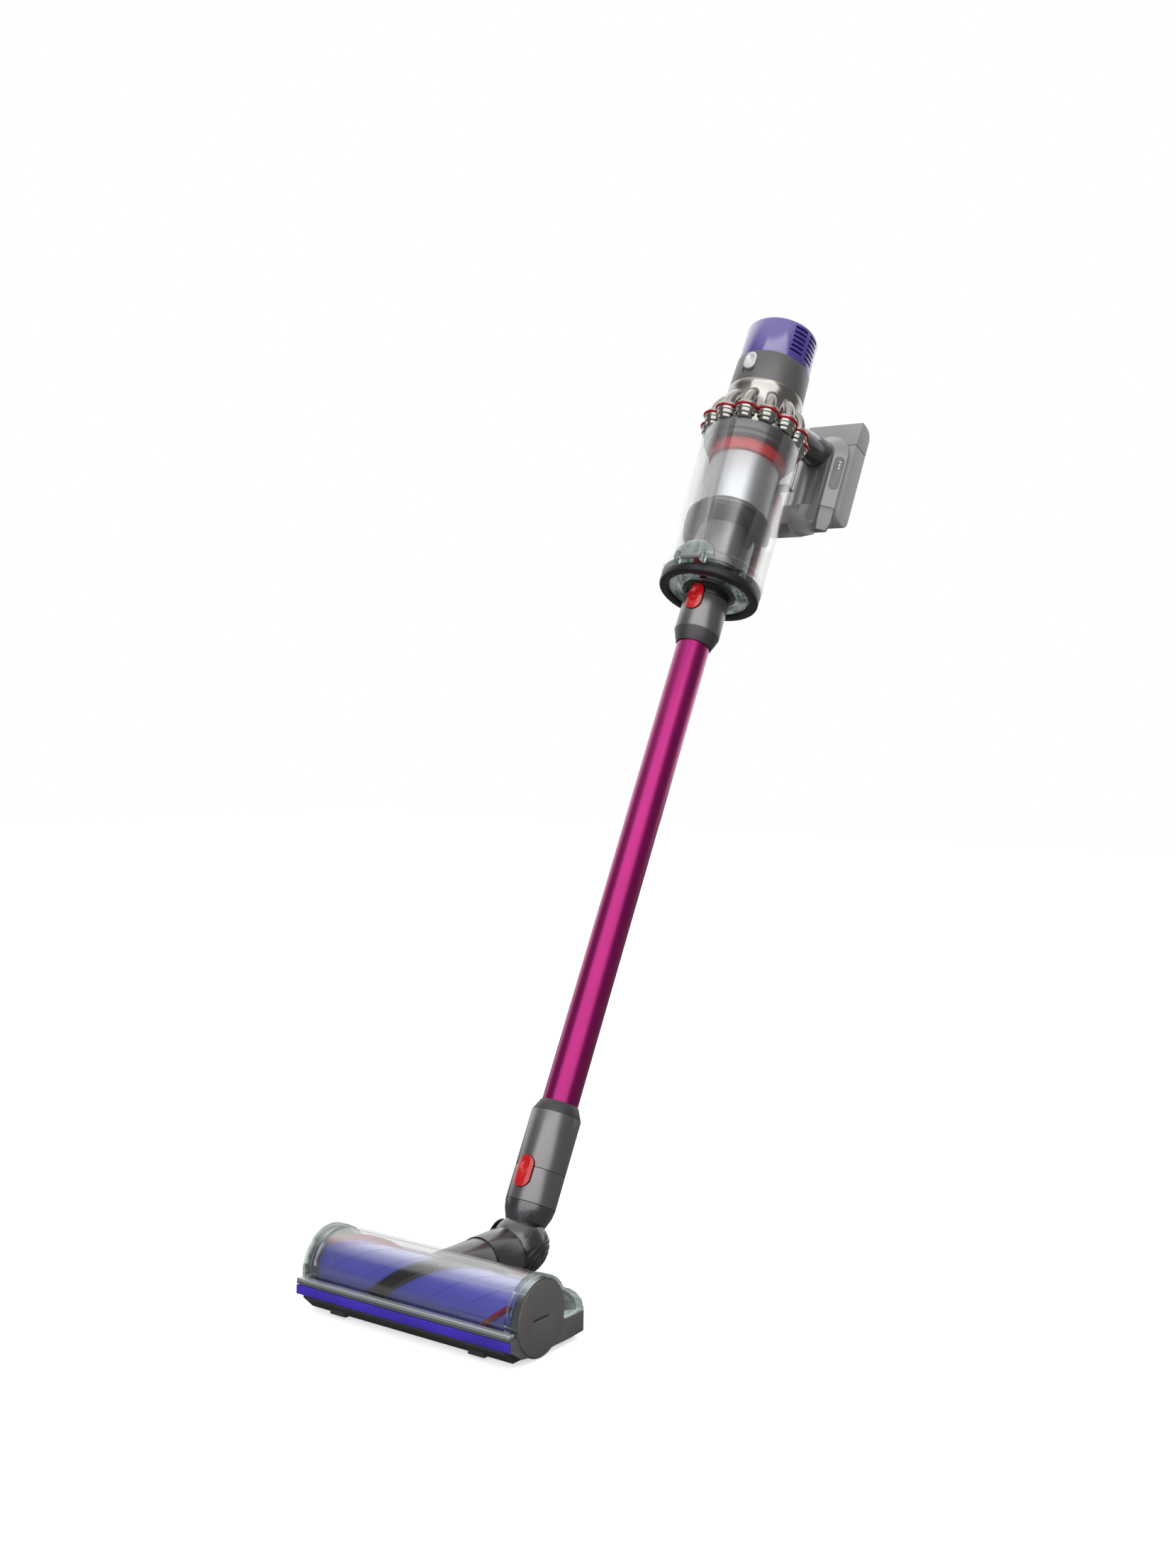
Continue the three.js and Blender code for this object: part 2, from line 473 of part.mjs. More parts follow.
function buildMotor(parent) {
  const { radius, wall, top, filterRadius, filterTop } = motorBody;
  const base = cyclone.hub + GAP;
  const slider = { x: -4.8, z: top - 14.2, width: 15.6, height: 23.4, travel: 8 };
  const track = roundedPlate(slider.x, slider.z - slider.travel / 2, slider.width + 2 * SLIDE,
    slider.height + slider.travel + 2 * SLIDE, slider.width / 2 + SLIDE);
  const floor = radius - 3.6;
  const housing = tube(radius - wall, radius, base, top, 40);
  const pocket = acrossY(track, -radius - 9, -floor, 10);
  piece(parent, 'motor_housing', cut(housing, pocket), SATIN_GREY);
  const face = radius + 0.8;
  const sliderPlan = roundedPlate(slider.x, slider.z, slider.width, slider.height, slider.width / 2);
  const sliderCap = common(rod(face, slider.z - 15, slider.z + 15, 96),
    acrossY(sliderPlan, -face - 5, -floor - GAP, 10));
  piece(parent, 'mode_slider', sliderCap, SILVER);
  piece(parent, 'motor', join(rod(27, base + 8, top - 2, 28), rod(3, base - 14, base + 9, 12)), DARK_GREY);
  piece(parent, 'impeller', impeller(base - 12), SILVER);
  piece(parent, 'filter_cap', cut(filterCapShell(), ...filterSlots()), PURPLE);
  piece(parent, 'filter_element', tube(24, filterRadius - 5, top + 4, filterTop - 8, 32), look(0xe8e8ea, 0.9));
}

function filterCapShell() {
  const { top, filterRadius, filterTop } = motorBody;
  const bore = filterRadius - 3;
  return revolve([[0, filterTop - 3.5], [bore - 4, filterTop - 4.5], [bore, filterTop - 7], [bore, top + GAP],
    [filterRadius, top + GAP], [filterRadius, filterTop - 4], [filterRadius - 5, filterTop - 0.8],
    [0, filterTop]], 48);
}

function filterSlots() {
  const slots = [];
  for (const degrees of [62, 92]) {
    for (let row = 0; row < 6; row++) {
      const z = motorBody.top + 9 + 6.4 * row;
      slots.push(box(-9, 9, -motorBody.filterRadius - 6, -motorBody.filterRadius + 6, z, z + 3)
        .rotateZ(THREE.MathUtils.degToRad(degrees)));
    }
  }
  return slots;
}

function impeller(base) {
  const blades = Array.from({ length: 9 }, (_, i) =>
    box(6, 27, -0.8, 0.8, base + 1.5, base + 8).rotateZ((2 * Math.PI * i) / 9));
  return cut(join(rod(28, base, base + 2, 28), rod(8, base, base + 9, 20), ...blades), rod(3.4, base - 2, base + 12, 12));
}

// ---- handle and battery -------------------------------------------------------------------------
function buildHandle(parent) {
  piece(parent, 'grip', grip(), DARK_GREY);
  piece(parent, 'trigger', trigger(), RED);
  piece(parent, 'handle_casing', handleCasing(), SATIN_GREY);
  piece(parent, 'strut', strut(), SATIN_GREY);
  piece(parent, 'battery_pack', batteryPack(), MATTE_GREY);
  piece(parent, 'status_window_left', statusWindow(-1, 0, 0.9), BLACK);
  piece(parent, 'status_window_right', statusWindow(1, 0, 0.9), BLACK);
  piece(parent, 'charging_socket', socketPlug(0, 3.6), BLACK);
}

const gripRise = THREE.MathUtils.degToRad(handle.gripRise);
const triggerPlace = { half: 7, from: 66, to: 82, travel: 5 };

function grip() {
  const { gripRadius, gripFront, gripLow, spineFront } = handle;
  const length = (spineFront + 14 - gripFront) / Math.cos(gripRise);
  const bar = alongY(rod(gripRadius, -14, length, 32)).rotateX(gripRise).translate(0, gripFront, gripLow);
  const body = motorBody.radius + GAP;
  const cyclones = revolve([[0, 880], [70, 880], [70, cyclone.caps + GAP], [61.5, cyclone.caps + GAP],
    [61.5, cyclone.caps + 7], [56.5, cyclone.caps + 21], [49.5, cyclone.caps + 32], [body, cyclone.caps + 36],
    [body, motorBody.top + 20], [0, motorBody.top + 20]], 40);
  const { half, from, to } = triggerPlace;
  const pocket = box(-half - SLIDE, half + SLIDE, from - SLIDE, to + SLIDE, gripLow - 30, gripLow + 4);
  const spine = box(-60, 60, spineFront - GAP, 300, 800, 1100);
  return cut(bar, cyclones, pocket, spine);
}

function trigger() {
  const { half, from, to } = triggerPlace;
  const low = handle.gripLow - 26;
  return box(-half, half, from, to, low, handle.gripLow - 3);
}

// The band's section: a saddle-width front that widens to the slab behind it.
function bandSection(margin = 0) {
  const { spineHalf, bandHalf, spineFront, slabFront } = handle;
  const back = slabFront - GAP;
  return outline([[-bandHalf, back], [-bandHalf, back - 1.5], [-spineHalf, spineFront], [spineHalf, spineFront],
    [bandHalf, back - 1.5], [bandHalf, back]].map(([x, y]) => [x * (1 + margin), y]));
}

function slabOutline(bottom, top) {
  // side outline of the slab in Y and Z, rounded at its lower and upper rear edges
  const { slabFront, slabBack } = handle;
  const round = 12;
  const shape = new THREE.Shape();
  shape.moveTo(slabFront, bottom);
  shape.lineTo(slabBack, bottom);
  shape.lineTo(slabBack, top - round);
  shape.absarc(slabBack - round, top - round, round, 0, Math.PI / 2, false);
  shape.lineTo(slabFront + 3, top);
  shape.lineTo(slabFront, top - 3);
  return shape;
}

function handleCasing() {
  const { slabHalf, slabFront, seam, slabTop, bandBottom, bandTop } = handle;
  const band = common(upZ(bandSection(), bandBottom + GAP, bandTop + 14, 4), bandProfile());
  const top = acrossX(slabOutline(seam + GAP, slabTop), -slabHalf, slabHalf);
  const bridge = box(-handle.bandHalf + 2, handle.bandHalf - 2, slabFront - 6, slabFront + 4, seam + 1, bandTop);
  return cut(join(band, bridge, top), statusWindow(-1, GAP, 1.3), statusWindow(1, GAP, 1.3));
}

function bandProfile() {
  // side view of the band: its top is an arch that leans back
  const { spineFront, slabFront, bandBottom, bandTop } = handle;
  return acrossX(outline([[spineFront - 2, bandBottom], [slabFront + 2, bandBottom], [slabFront + 2, bandTop + 6],
    [spineFront + 10, bandTop + 4], [spineFront - 2, bandTop - 6]]), -60, 60);
}

// A racetrack plate lying on the slanted face of the band, on the right for side 1 and the left for -1.
function statusWindow(side, margin, depth) {
  const { spineHalf, bandHalf, spineFront, slabFront } = handle;
  const across = new THREE.Vector3(bandHalf - spineHalf, side * (slabFront - GAP - 1.5 - spineFront), 0).normalize();
  const out = new THREE.Vector3(across.y, -across.x, 0);
  const plan = roundedPlate(0, 0, 13 + 2 * margin, 49 + 2 * margin, 6.5 + margin);
  const plate = upZ(plan, -depth, margin > 0 ? 4 : 0, 8);
  const place = new THREE.Matrix4().makeBasis(across, new THREE.Vector3(0, 0, 1), out);
  const middle = new THREE.Vector3(side * (spineHalf + bandHalf) / 2, (spineFront + slabFront - GAP - 1.5) / 2,
    (handle.bandBottom + handle.bandTop) / 2 - 5);
  return plate.applyMatrix4(place).translate(middle.x, middle.y, middle.z);
}

// The strut's lower slope, from its chin to the battery foot, carries the charging socket.
const slopeFrom = new THREE.Vector2(125, 831);
const slopeTo = new THREE.Vector2(handle.spineFront + 6, 852);

function strut() {
  const { strutHalf, spineFront, bandBottom } = handle;
  const front = bin.radius + 6 + GAP;
  const side = outline([[front, 846], [front, 868], [82, 868], [88, 849], [spineFront - 8, 860],
    [spineFront - 2, 868], [spineFront - 2, bandBottom - GAP], [spineFront + 6, bandBottom - GAP],
    slopeTo.toArray(), slopeFrom.toArray(), [99, 821.5], [86, 827], [80, 840]]);
  return cut(acrossX(side, -strutHalf, strutHalf), leverSpace(), socketPlug(GAP, 4));
}

function socketPlug(margin, depth) {
  const slope = slopeTo.clone().sub(slopeFrom);
  const middle = slopeFrom.clone().add(slope.multiplyScalar(0.55));
  return rod(6.2 + margin, -depth, margin > 0 ? 3 : -0.4, 20).rotateX(Math.PI + slope.angle())
    .translate(0, middle.x, middle.y);
}

const leverSpace = () => box(-8, 8, bin.radius + 6, bin.radius + 24, 780, 866);

function batteryPack() {
  const { slabHalf, slabFront, slabBack, slabBottom, seam, bandBottom, spineFront } = handle;
  const round = 13;
  const shape = new THREE.Shape();
  shape.moveTo(slabFront, seam);
  shape.lineTo(slabFront, slabBottom + round);
  shape.absarc(slabFront + round, slabBottom + round, round, Math.PI, 1.5 * Math.PI, false);
  shape.lineTo(slabBack, slabBottom);
  shape.lineTo(slabBack, seam);
  const slab = acrossX(shape, -slabHalf, slabHalf);
  const footSection = upZ(bandSection(), 850, bandBottom - GAP, 4);
  const footSide = acrossX(outline([[spineFront + 6 + GAP, bandBottom], [spineFront + 6 + GAP, 853],
    [170, 866], [184, 872], [184, bandBottom]]), -60, 60);
  const wide = upZ(outline([[-30, 163], [30, 163], [27, 184], [-27, 184]]), 862, bandBottom - GAP);
  const foot = common(join(footSection, wide), footSide);
  return join(slab, foot);
}

// ---- assembly -----------------------------------------------------------------------------------
const vacuum = new THREE.Group();
buildHead(vacuum);
const elbow = buildNeck(vacuum);
const machine = group(elbow);
machine.rotation.x = -lean;
const upright = group(machine, 0, stemSetBack, stemLength);
buildWand(upright);
buildBin(upright);
buildCyclones(upright);
buildMotor(upright);
buildHandle(upright);

const bounds = new THREE.Box3().setFromObject(vacuum, true);
const middle = bounds.getCenter(new THREE.Vector3());
vacuum.position.set(-middle.x, -middle.y, -bounds.min.z);

export default vacuum;
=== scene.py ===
import json
from math import cos, pi, radians, sin
from random import Random
import bpy
import bmesh
from mathutils import Matrix, Vector


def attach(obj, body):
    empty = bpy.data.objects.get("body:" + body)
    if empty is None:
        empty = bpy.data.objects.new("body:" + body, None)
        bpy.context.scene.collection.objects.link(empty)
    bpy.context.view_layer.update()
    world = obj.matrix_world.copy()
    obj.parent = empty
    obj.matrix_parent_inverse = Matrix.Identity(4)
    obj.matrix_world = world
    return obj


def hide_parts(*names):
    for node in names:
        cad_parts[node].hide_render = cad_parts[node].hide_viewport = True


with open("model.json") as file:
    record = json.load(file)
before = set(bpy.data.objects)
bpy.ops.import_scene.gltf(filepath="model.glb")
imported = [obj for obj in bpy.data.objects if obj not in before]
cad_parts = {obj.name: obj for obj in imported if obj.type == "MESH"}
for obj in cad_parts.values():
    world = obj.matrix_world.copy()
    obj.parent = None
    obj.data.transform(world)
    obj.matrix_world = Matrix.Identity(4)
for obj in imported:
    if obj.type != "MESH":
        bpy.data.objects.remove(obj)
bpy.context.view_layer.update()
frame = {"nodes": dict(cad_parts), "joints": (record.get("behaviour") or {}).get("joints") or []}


# ---- Studio -------------------------------------------------------------------------------------
# A white room with a white paper floor. One huge softbox stands behind the camera, and its edges
# show in every round, glossy part. The room is dim at both sides and bright behind the object.
joints = {joint["name"]: joint for joint in frame["joints"]}
roller_axis = Vector(joints["brush_spin"]["pos_m"])
head_place = Matrix.Translation((roller_axis.x, roller_axis.y, 0)) @ Matrix.Scale(0.001, 4)

camera_at = (997.7, -1183.3, 560.0)  # mm from the point on the floor below the roller's axis
turn, rise, roll = radians(35.1), radians(2.26), radians(0.91)
camera = bpy.data.objects.new("camera", bpy.data.cameras.new("camera"))
camera.data.lens = 39.27
camera.data.sensor_width = 36
back = Vector((sin(turn) * cos(rise), -cos(turn) * cos(rise), sin(rise)))
level = Vector((cos(turn), sin(turn), 0))
right = (cos(roll) * level + sin(roll) * back.cross(level)).normalized()
camera_axes = Matrix((right, back.cross(right), back)).transposed().to_4x4()
camera.matrix_world = Matrix.Translation(head_place @ Vector(camera_at)) @ camera_axes
bpy.context.scene.collection.objects.link(camera)
bpy.context.scene.camera = camera
bpy.context.scene.view_settings.view_transform = "Standard"


class Wire:
    """A node socket that can be used in sums, such as 1 - mask, and that makes the next node."""

    def __init__(self, tree, socket):
        self.tree, self.socket = tree, socket

    def node(self, kind, settings=None, inputs=None, output=0):
        made = self.tree.nodes.new(kind)
        for key, value in (settings or {}).items():
            if key == "stops":
                ramp = made.color_ramp.elements
                while len(ramp) < len(value):
                    ramp.new(0.5)
                for stop, (place, colour) in zip(ramp, value):
                    stop.position = place
                    stop.color = (*colour, 1) if len(colour) == 3 else colour
            else:
                setattr(made, key, value)
        for key, value in (inputs or {}).items():
            if isinstance(value, Wire):
                self.tree.links.new(value.socket, made.inputs[key])
            else:
                made.inputs[key].default_value = value
        return Wire(self.tree, made.outputs[output])

    def math(self, operation, first, second=0.0, third=0.0):
        return self.node("ShaderNodeMath", {"operation": operation}, {0: first, 1: second, 2: third})

    def __add__(self, other):
        return self.math("ADD", self, other)

    def __sub__(self, other):
        return self.math("SUBTRACT", self, other)

    def __mul__(self, other):
        return self.math("MULTIPLY", self, other)

    def __truediv__(self, other):
        return self.math("DIVIDE", self, other)

    def __radd__(self, other):
        return self.math("ADD", other, self)

    def __rsub__(self, other):
        return self.math("SUBTRACT", other, self)

    def __rmul__(self, other):
        return self.math("MULTIPLY", other, self)

    def __rtruediv__(self, other):
        return self.math("DIVIDE", other, self)

    def above(self, level, soft=0.02):
        """1 where this value is over a level, with a soft edge."""
        settings = {"interpolation_type": "SMOOTHSTEP", "clamp": True}
        return self.node("ShaderNodeMapRange", settings, {0: self, 1: level - soft, 2: level + soft})

    def blend(self, low, high):
        """A colour between two colours or colour wires, by this value."""
        low, high = [(*c, 1) if isinstance(c, tuple) and len(c) == 3 else c for c in (low, high)]
        return self.node("ShaderNodeMix", {"data_type": "RGBA"}, {0: self, 6: low, 7: high}, 2)

    def into(self, node, name):
        self.tree.links.new(self.socket, node.inputs[name])


def light_the_room():
    """A sky that is plain white to the camera, and a room with a softbox to everything else."""
    world = bpy.data.worlds.new("studio")
    bpy.context.scene.world = world
    world.use_nodes = True
    tree = world.node_tree
    background = tree.nodes["Background"]
    place = Wire(tree, tree.nodes.new("ShaderNodeTexCoord").outputs["Generated"])
    along = place.node("ShaderNodeVectorMath", {"operation": "DOT_PRODUCT"}, {0: place, 1: back}, 1)
    across = place.node("ShaderNodeVectorMath", {"operation": "DOT_PRODUCT"}, {0: place, 1: level}, 1)
    height = place.node("ShaderNodeVectorMath", {"operation": "DOT_PRODUCT"}, {0: place, 1: (0, 0, 1)}, 1)
    bearing = place.math("ARCTAN2", across, along)
    left_edge, right_edge, low_edge, high_edge = radians(-54), radians(36), -0.42, 0.86
    softbox = bearing.above(left_edge) * (1 - bearing.above(right_edge, 0.12))
    softbox = softbox * height.above(low_edge, 0.1) * (1 - height.above(high_edge, 0.05))
    behind = (0 - along).above(0.42, 0.25)
    overhead = height.above(0.75, 0.2)
    room, box_strength, behind_strength, overhead_strength = 0.16, 1.5, 1.05, 0.7
    glow = room + softbox * box_strength + behind * behind_strength + overhead * overhead_strength
    seen = Wire(tree, tree.nodes.new("ShaderNodeLightPath").outputs["Is Camera Ray"])
    (glow * (1 - seen) + seen * 1.0).into(background, "Strength")
    background.inputs["Color"].default_value = (1, 1, 1, 1)


def lay_the_floor():
    """White where the camera sees it, and dim where the object mirrors it, so its lower side stays dark."""
    sheet = bmesh.new()
    bmesh.ops.create_grid(sheet, x_segments=2, y_segments=2, size=6)
    mesh = bpy.data.meshes.new("floor")
    sheet.to_mesh(mesh)
    sheet.free()
    floor = bpy.data.objects.new("floor", mesh)
    bpy.context.scene.collection.objects.link(floor)
    material = bpy.data.materials.new("floor_paper")
    material.use_nodes = True
    tree = material.node_tree
    shader = tree.nodes["Principled BSDF"]
    shader.inputs["Base Color"].default_value = (0.93, 0.93, 0.93, 1)
    shader.inputs["Roughness"].default_value = 0.9
    shader.inputs["Emission Color"].default_value = (1, 1, 1, 1)
    shader.inputs["Emission Strength"].default_value = 0.6
    seen = Wire(tree, tree.nodes.new("ShaderNodeLightPath").outputs["Is Camera Ray"])
    dim = seen.node("ShaderNodeBsdfDiffuse", {}, {"Color": (0.2, 0.2, 0.2, 1)})
    paper = seen.node("ShaderNodeMixShader", {}, {0: seen, 1: dim, 2: Wire(tree, shader.outputs[0])})
    paper.into(tree.nodes["Material Output"], "Surface")
    mesh.materials.append(material)


light_the_room()
lay_the_floor()


# ---- Wand tube ----------------------------------------------------------------------------------
# A drawn aluminium tube, 38 mm across, anodised magenta with a clear satin lacquer. It is plugged
# into a moulded collar at each end. The machine's own Z runs up it, in mm from the neck socket.
mm = Matrix.Scale(0.001, 4)
elbow_axis = Vector(joints["neck_fold"]["pos_m"])
machine_lean = radians(-27)
socket_above_elbow = (0, 0.0025, 0.0744)
machine_place = (Matrix.Translation(elbow_axis) @ Matrix.Rotation(machine_lean, 4, "X")
                 @ Matrix.Translation(socket_above_elbow) @ mm)
wand_radius, wand_bore, wand_length = 19.0, 17.4, 665.3


def turned(points, steps=96, rounding=0.4, sharp=28):
    """A shape turned on a lathe about Z from [radius, height] points, closed or ending on the axis."""
    bm = bmesh.new()
    corners = [bm.verts.new((radius, 0, height)) for radius, height in points]
    edges = [bm.edges.new(pair) for pair in zip(corners, corners[1:])]
    if points[0][0] > 0:
        edges.append(bm.edges.new((corners[-1], corners[0])))
    bmesh.ops.spin(bm, geom=corners + edges, cent=(0, 0, 0), axis=(0, 0, 1), dvec=(0, 0, 0), angle=2 * pi,
                   steps=steps, use_merge=True, use_duplicate=False)
    bmesh.ops.remove_doubles(bm, verts=bm.verts, dist=0.001)
    bmesh.ops.recalc_face_normals(bm, faces=bm.faces)
    if rounding:
        soften_edges(bm, rounding, sharp)
    return bm


def soften_edges(bm, width, sharp=28, segments=3):
    """Rounds every edge that is sharper than an angle."""
    edges = [e for e in bm.edges if len(e.link_faces) == 2 and e.calc_face_angle(0) > radians(sharp)]
    bmesh.ops.bevel(bm, geom=edges, offset=width, offset_type="OFFSET", segments=segments, profile=0.5,
                    affect="EDGES", material=-1, clamp_overlap=True)


def put(name, bm, place, body, material, nodes=(), sharp=32, second=None, where=None):
    """Makes the finished piece, in place, riding on its body.

    Faces whose middle passes a test take a second finish.
    """
    for face in bm.faces if second else ():
        face.material_index = int(where(face.calc_center_median()))
    bmesh.ops.transform(bm, matrix=place, verts=bm.verts)
    mesh = bpy.data.meshes.new(name)
    bm.to_mesh(mesh)
    bm.free()
    mesh.shade_smooth()
    mesh.set_sharp_from_angle(angle=radians(sharp))
    mesh.materials.append(material)
    if second:
        mesh.materials.append(second)
    piece = bpy.data.objects.new(name, mesh)
    bpy.context.scene.collection.objects.link(piece)
    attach(piece, body)
    if nodes:
        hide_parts(*nodes)
    return piece


def finish(name, colour, roughness, metallic=0.0, coat=0.0, grain=0.04, grain_size=0.0006, bump=0.06,
           cloud=0.05, coat_roughness=0.08, specular=0.5, coat_ior=1.5):
    """A painted, moulded or polished surface: fine grain in its gloss and height, faint clouding."""
    material = bpy.data.materials.new(name)
    material.use_nodes = True
    tree = material.node_tree
    shader = tree.nodes["Principled BSDF"]
    place = Wire(tree, tree.nodes.new("ShaderNodeTexCoord").outputs["Object"])
    cloud_scale = 14.0
    fine = place.node("ShaderNodeTexNoise", {}, {"Vector": place, "Scale": 1 / grain_size, "Detail": 2.0})
    broad = place.node("ShaderNodeTexNoise", {}, {"Vector": place, "Scale": cloud_scale, "Detail": 3.0})
    darker = tuple(channel * (1 - 2 * cloud) for channel in colour)
    lighter = tuple(min(1, channel * (1 + cloud)) for channel in colour)
    broad.above(0.5, 0.3).blend(darker, lighter).into(shader, "Base Color")
    (roughness + (fine - 0.5) * grain * 2 + (broad - 0.5) * grain).into(shader, "Roughness")
    relief = {"Strength": bump, "Distance": grain_size * 0.3, "Height": fine}
    place.node("ShaderNodeBump", {}, relief).into(shader, "Normal")
    shader.inputs["Metallic"].default_value = metallic
    shader.inputs["Coat Weight"].default_value = coat
    shader.inputs["Coat Roughness"].default_value = coat_roughness
    shader.inputs["Specular IOR Level"].default_value = specular
    shader.inputs["Coat IOR"].default_value = coat_ior
    return material


magenta = finish("anodised_magenta", (0.4, 0.004, 0.165), 0.32, metallic=0.85, coat=0.5, grain=0.05,
                 grain_size=0.0004, coat_roughness=0.25)
tube = turned([[wand_bore, 25], [wand_radius, 25], [wand_radius, 641], [wand_bore, 641]], 128)
put("wand", tube, machine_place, "main_body", magenta, ["wand_tube"])


# ---- Wand collars and the socket on the neck ----------------------------------------------------
# Injection-moulded sleeves with a metallic grey paint. Each end narrows to the tube in a plain cone,
# and a pocket in front takes the red release button.
satin_grey = finish("metallic_grey_paint", (0.24, 0.23, 0.235), 0.3, metallic=0.75, coat=0.25,
                    coat_roughness=0.2, grain_size=0.0003)
cone_grey = finish("dark_matt_grey", (0.085, 0.08, 0.085), 0.45, metallic=0.5, grain_size=0.0004)


def racetrack(width, height, segments=12):
    """A flat racetrack in X and Z about the origin, as a face."""
    bm = bmesh.new()
    bmesh.ops.create_circle(bm, cap_ends=True, segments=4 * segments, radius=width / 2)
    bmesh.ops.rotate(bm, verts=bm.verts, cent=(0, 0, 0), matrix=Matrix.Rotation(pi / 2, 3, "X"))
    for vert in bm.verts:
        if abs(vert.co.z) > 0.001:
            vert.co.z += (height - width) / 2 * (1 if vert.co.z > 0 else -1)
    return bm


def racetrack_block(width, height, near, far, x=0.0, z=0.0):
    """A racetrack block that runs from Y near to Y far."""
    bm = racetrack(width, height)
    grown = bmesh.ops.extrude_face_region(bm, geom=list(bm.faces))
    verts = [item for item in grown["geom"] if isinstance(item, bmesh.types.BMVert)]
    bmesh.ops.translate(bm, vec=(0, far - near, 0), verts=verts)
    bmesh.ops.translate(bm, vec=(x, near, z), verts=bm.verts)
    bmesh.ops.recalc_face_normals(bm, faces=bm.faces)
    return bm


def carve(bm, tool, operation="DIFFERENCE"):
    """Cuts a tool out of a shape, or keeps what they share, and returns the result."""
    made = []
    for part in (bm, tool):
        mesh = bpy.data.meshes.new("blank")
        part.to_mesh(mesh)
        part.free()
        made.append(bpy.data.objects.new("blank", mesh))
        bpy.context.scene.collection.objects.link(made[-1])
    cutter = made[0].modifiers.new("cut", "BOOLEAN")
    cutter.operation, cutter.object, cutter.solver = operation, made[1], "EXACT"
    seen = made[0].evaluated_get(bpy.context.evaluated_depsgraph_get())
    result = bmesh.new()
    result.from_mesh(seen.to_mesh())
    for blank in made:
        bpy.data.objects.remove(blank)
    return result


collar_radius, spigot_bore, spigot = 26.0, 15.5, 20.4
socket_bore = 20.75
low_cone, high_cone = 58.3, 622.3
button_width, button_height = 19.0, 32.0
pocket_floor = collar_radius - 3.8
lower_button, upper_button = (-1, -6.4), (1, wand_length - 7.3)


def button_pocket(at, widen=0.6):
    """The block that clears a button's pocket, a little wider than the button all round."""
    width, height = button_width + 2 * widen, button_height + 2 * widen
    return racetrack_block(width, height, -collar_radius - 9, -pocket_floor, at[0], at[1])


socket = turned([[socket_bore, -34.4], [collar_radius, -34.4], [collar_radius, -0.2], [socket_bore, -0.2]],
                128, 0.25)
put("neck_socket_ring", carve(socket, button_pocket(lower_button)), machine_place, "main_body", satin_grey,
    ["neck_socket"])
lower = turned([[spigot_bore, -24], [spigot, -24], [spigot, 0.2], [collar_radius, 0.2], [26.1, 58],
                [20.2, 70.5], [19.3, 70.5], [19.3, 24], [spigot_bore, 24]], 128, 0.25)
put("wand_collar_low", carve(lower, button_pocket(lower_button)), machine_place, "main_body", satin_grey,
    ["wand_lower_collar"], second=cone_grey, where=lambda at: at.z > low_cone)
upper = turned([[19.3, 606.9], [20.1, 606.9], [collar_radius, 622.5], [collar_radius, 665.1],
                [socket_bore, 665.1], [socket_bore, 645.3], [spigot_bore, 645.3], [spigot_bore, 641.3],
                [19.3, 641.3]], 128, 0.25)
put("wand_collar_high", carve(upper, button_pocket(upper_button)), machine_place, "main_body", satin_grey,
    ["wand_upper_collar"], second=cone_grey, where=lambda at: at.z < high_cone)


# ---- Release buttons ----------------------------------------------------------------------------
# Two red gloss buttons, one for the head and one for the wand, with a shallow dish for the thumb.
red_gloss = finish("red_gloss", (0.66, 0.008, 0.012), 0.22, coat=0.7, grain=0.02, coat_roughness=0.05)


def button_cap(at):
    """A racetrack button whose face follows the collar, standing proud of it, with a thumb dish."""
    face, dish_radius, dish_up = collar_radius + 1.9, 16, 5
    cap = turned([[0, at[1] - 18], [face, at[1] - 18], [face, at[1] + 18], [0, at[1] + 18]], 192, 0)
    plan = racetrack_block(button_width, button_height, -face - 5, -pocket_floor - 3.35, at[0], at[1])
    bm = carve(cap, plan, "INTERSECT")
    bmesh.ops.remove_doubles(bm, verts=bm.verts, dist=0.01)
    dish = bmesh.new()
    bmesh.ops.create_uvsphere(dish, u_segments=40, v_segments=24, radius=dish_radius)
    bmesh.ops.translate(dish, verts=dish.verts, vec=(at[0], -face - 14.3, at[1] + dish_up))
    bm = carve(bm, dish)
    bmesh.ops.remove_doubles(bm, verts=bm.verts, dist=0.01)
    soften_edges(bm, 0.7, 40)
    return bm


put("head_release", button_cap(lower_button), machine_place, "head_button", red_gloss,
    ["head_release_button"])
put("wand_release", button_cap(upper_button), machine_place, "wand_button", red_gloss,
    ["wand_release_button"])


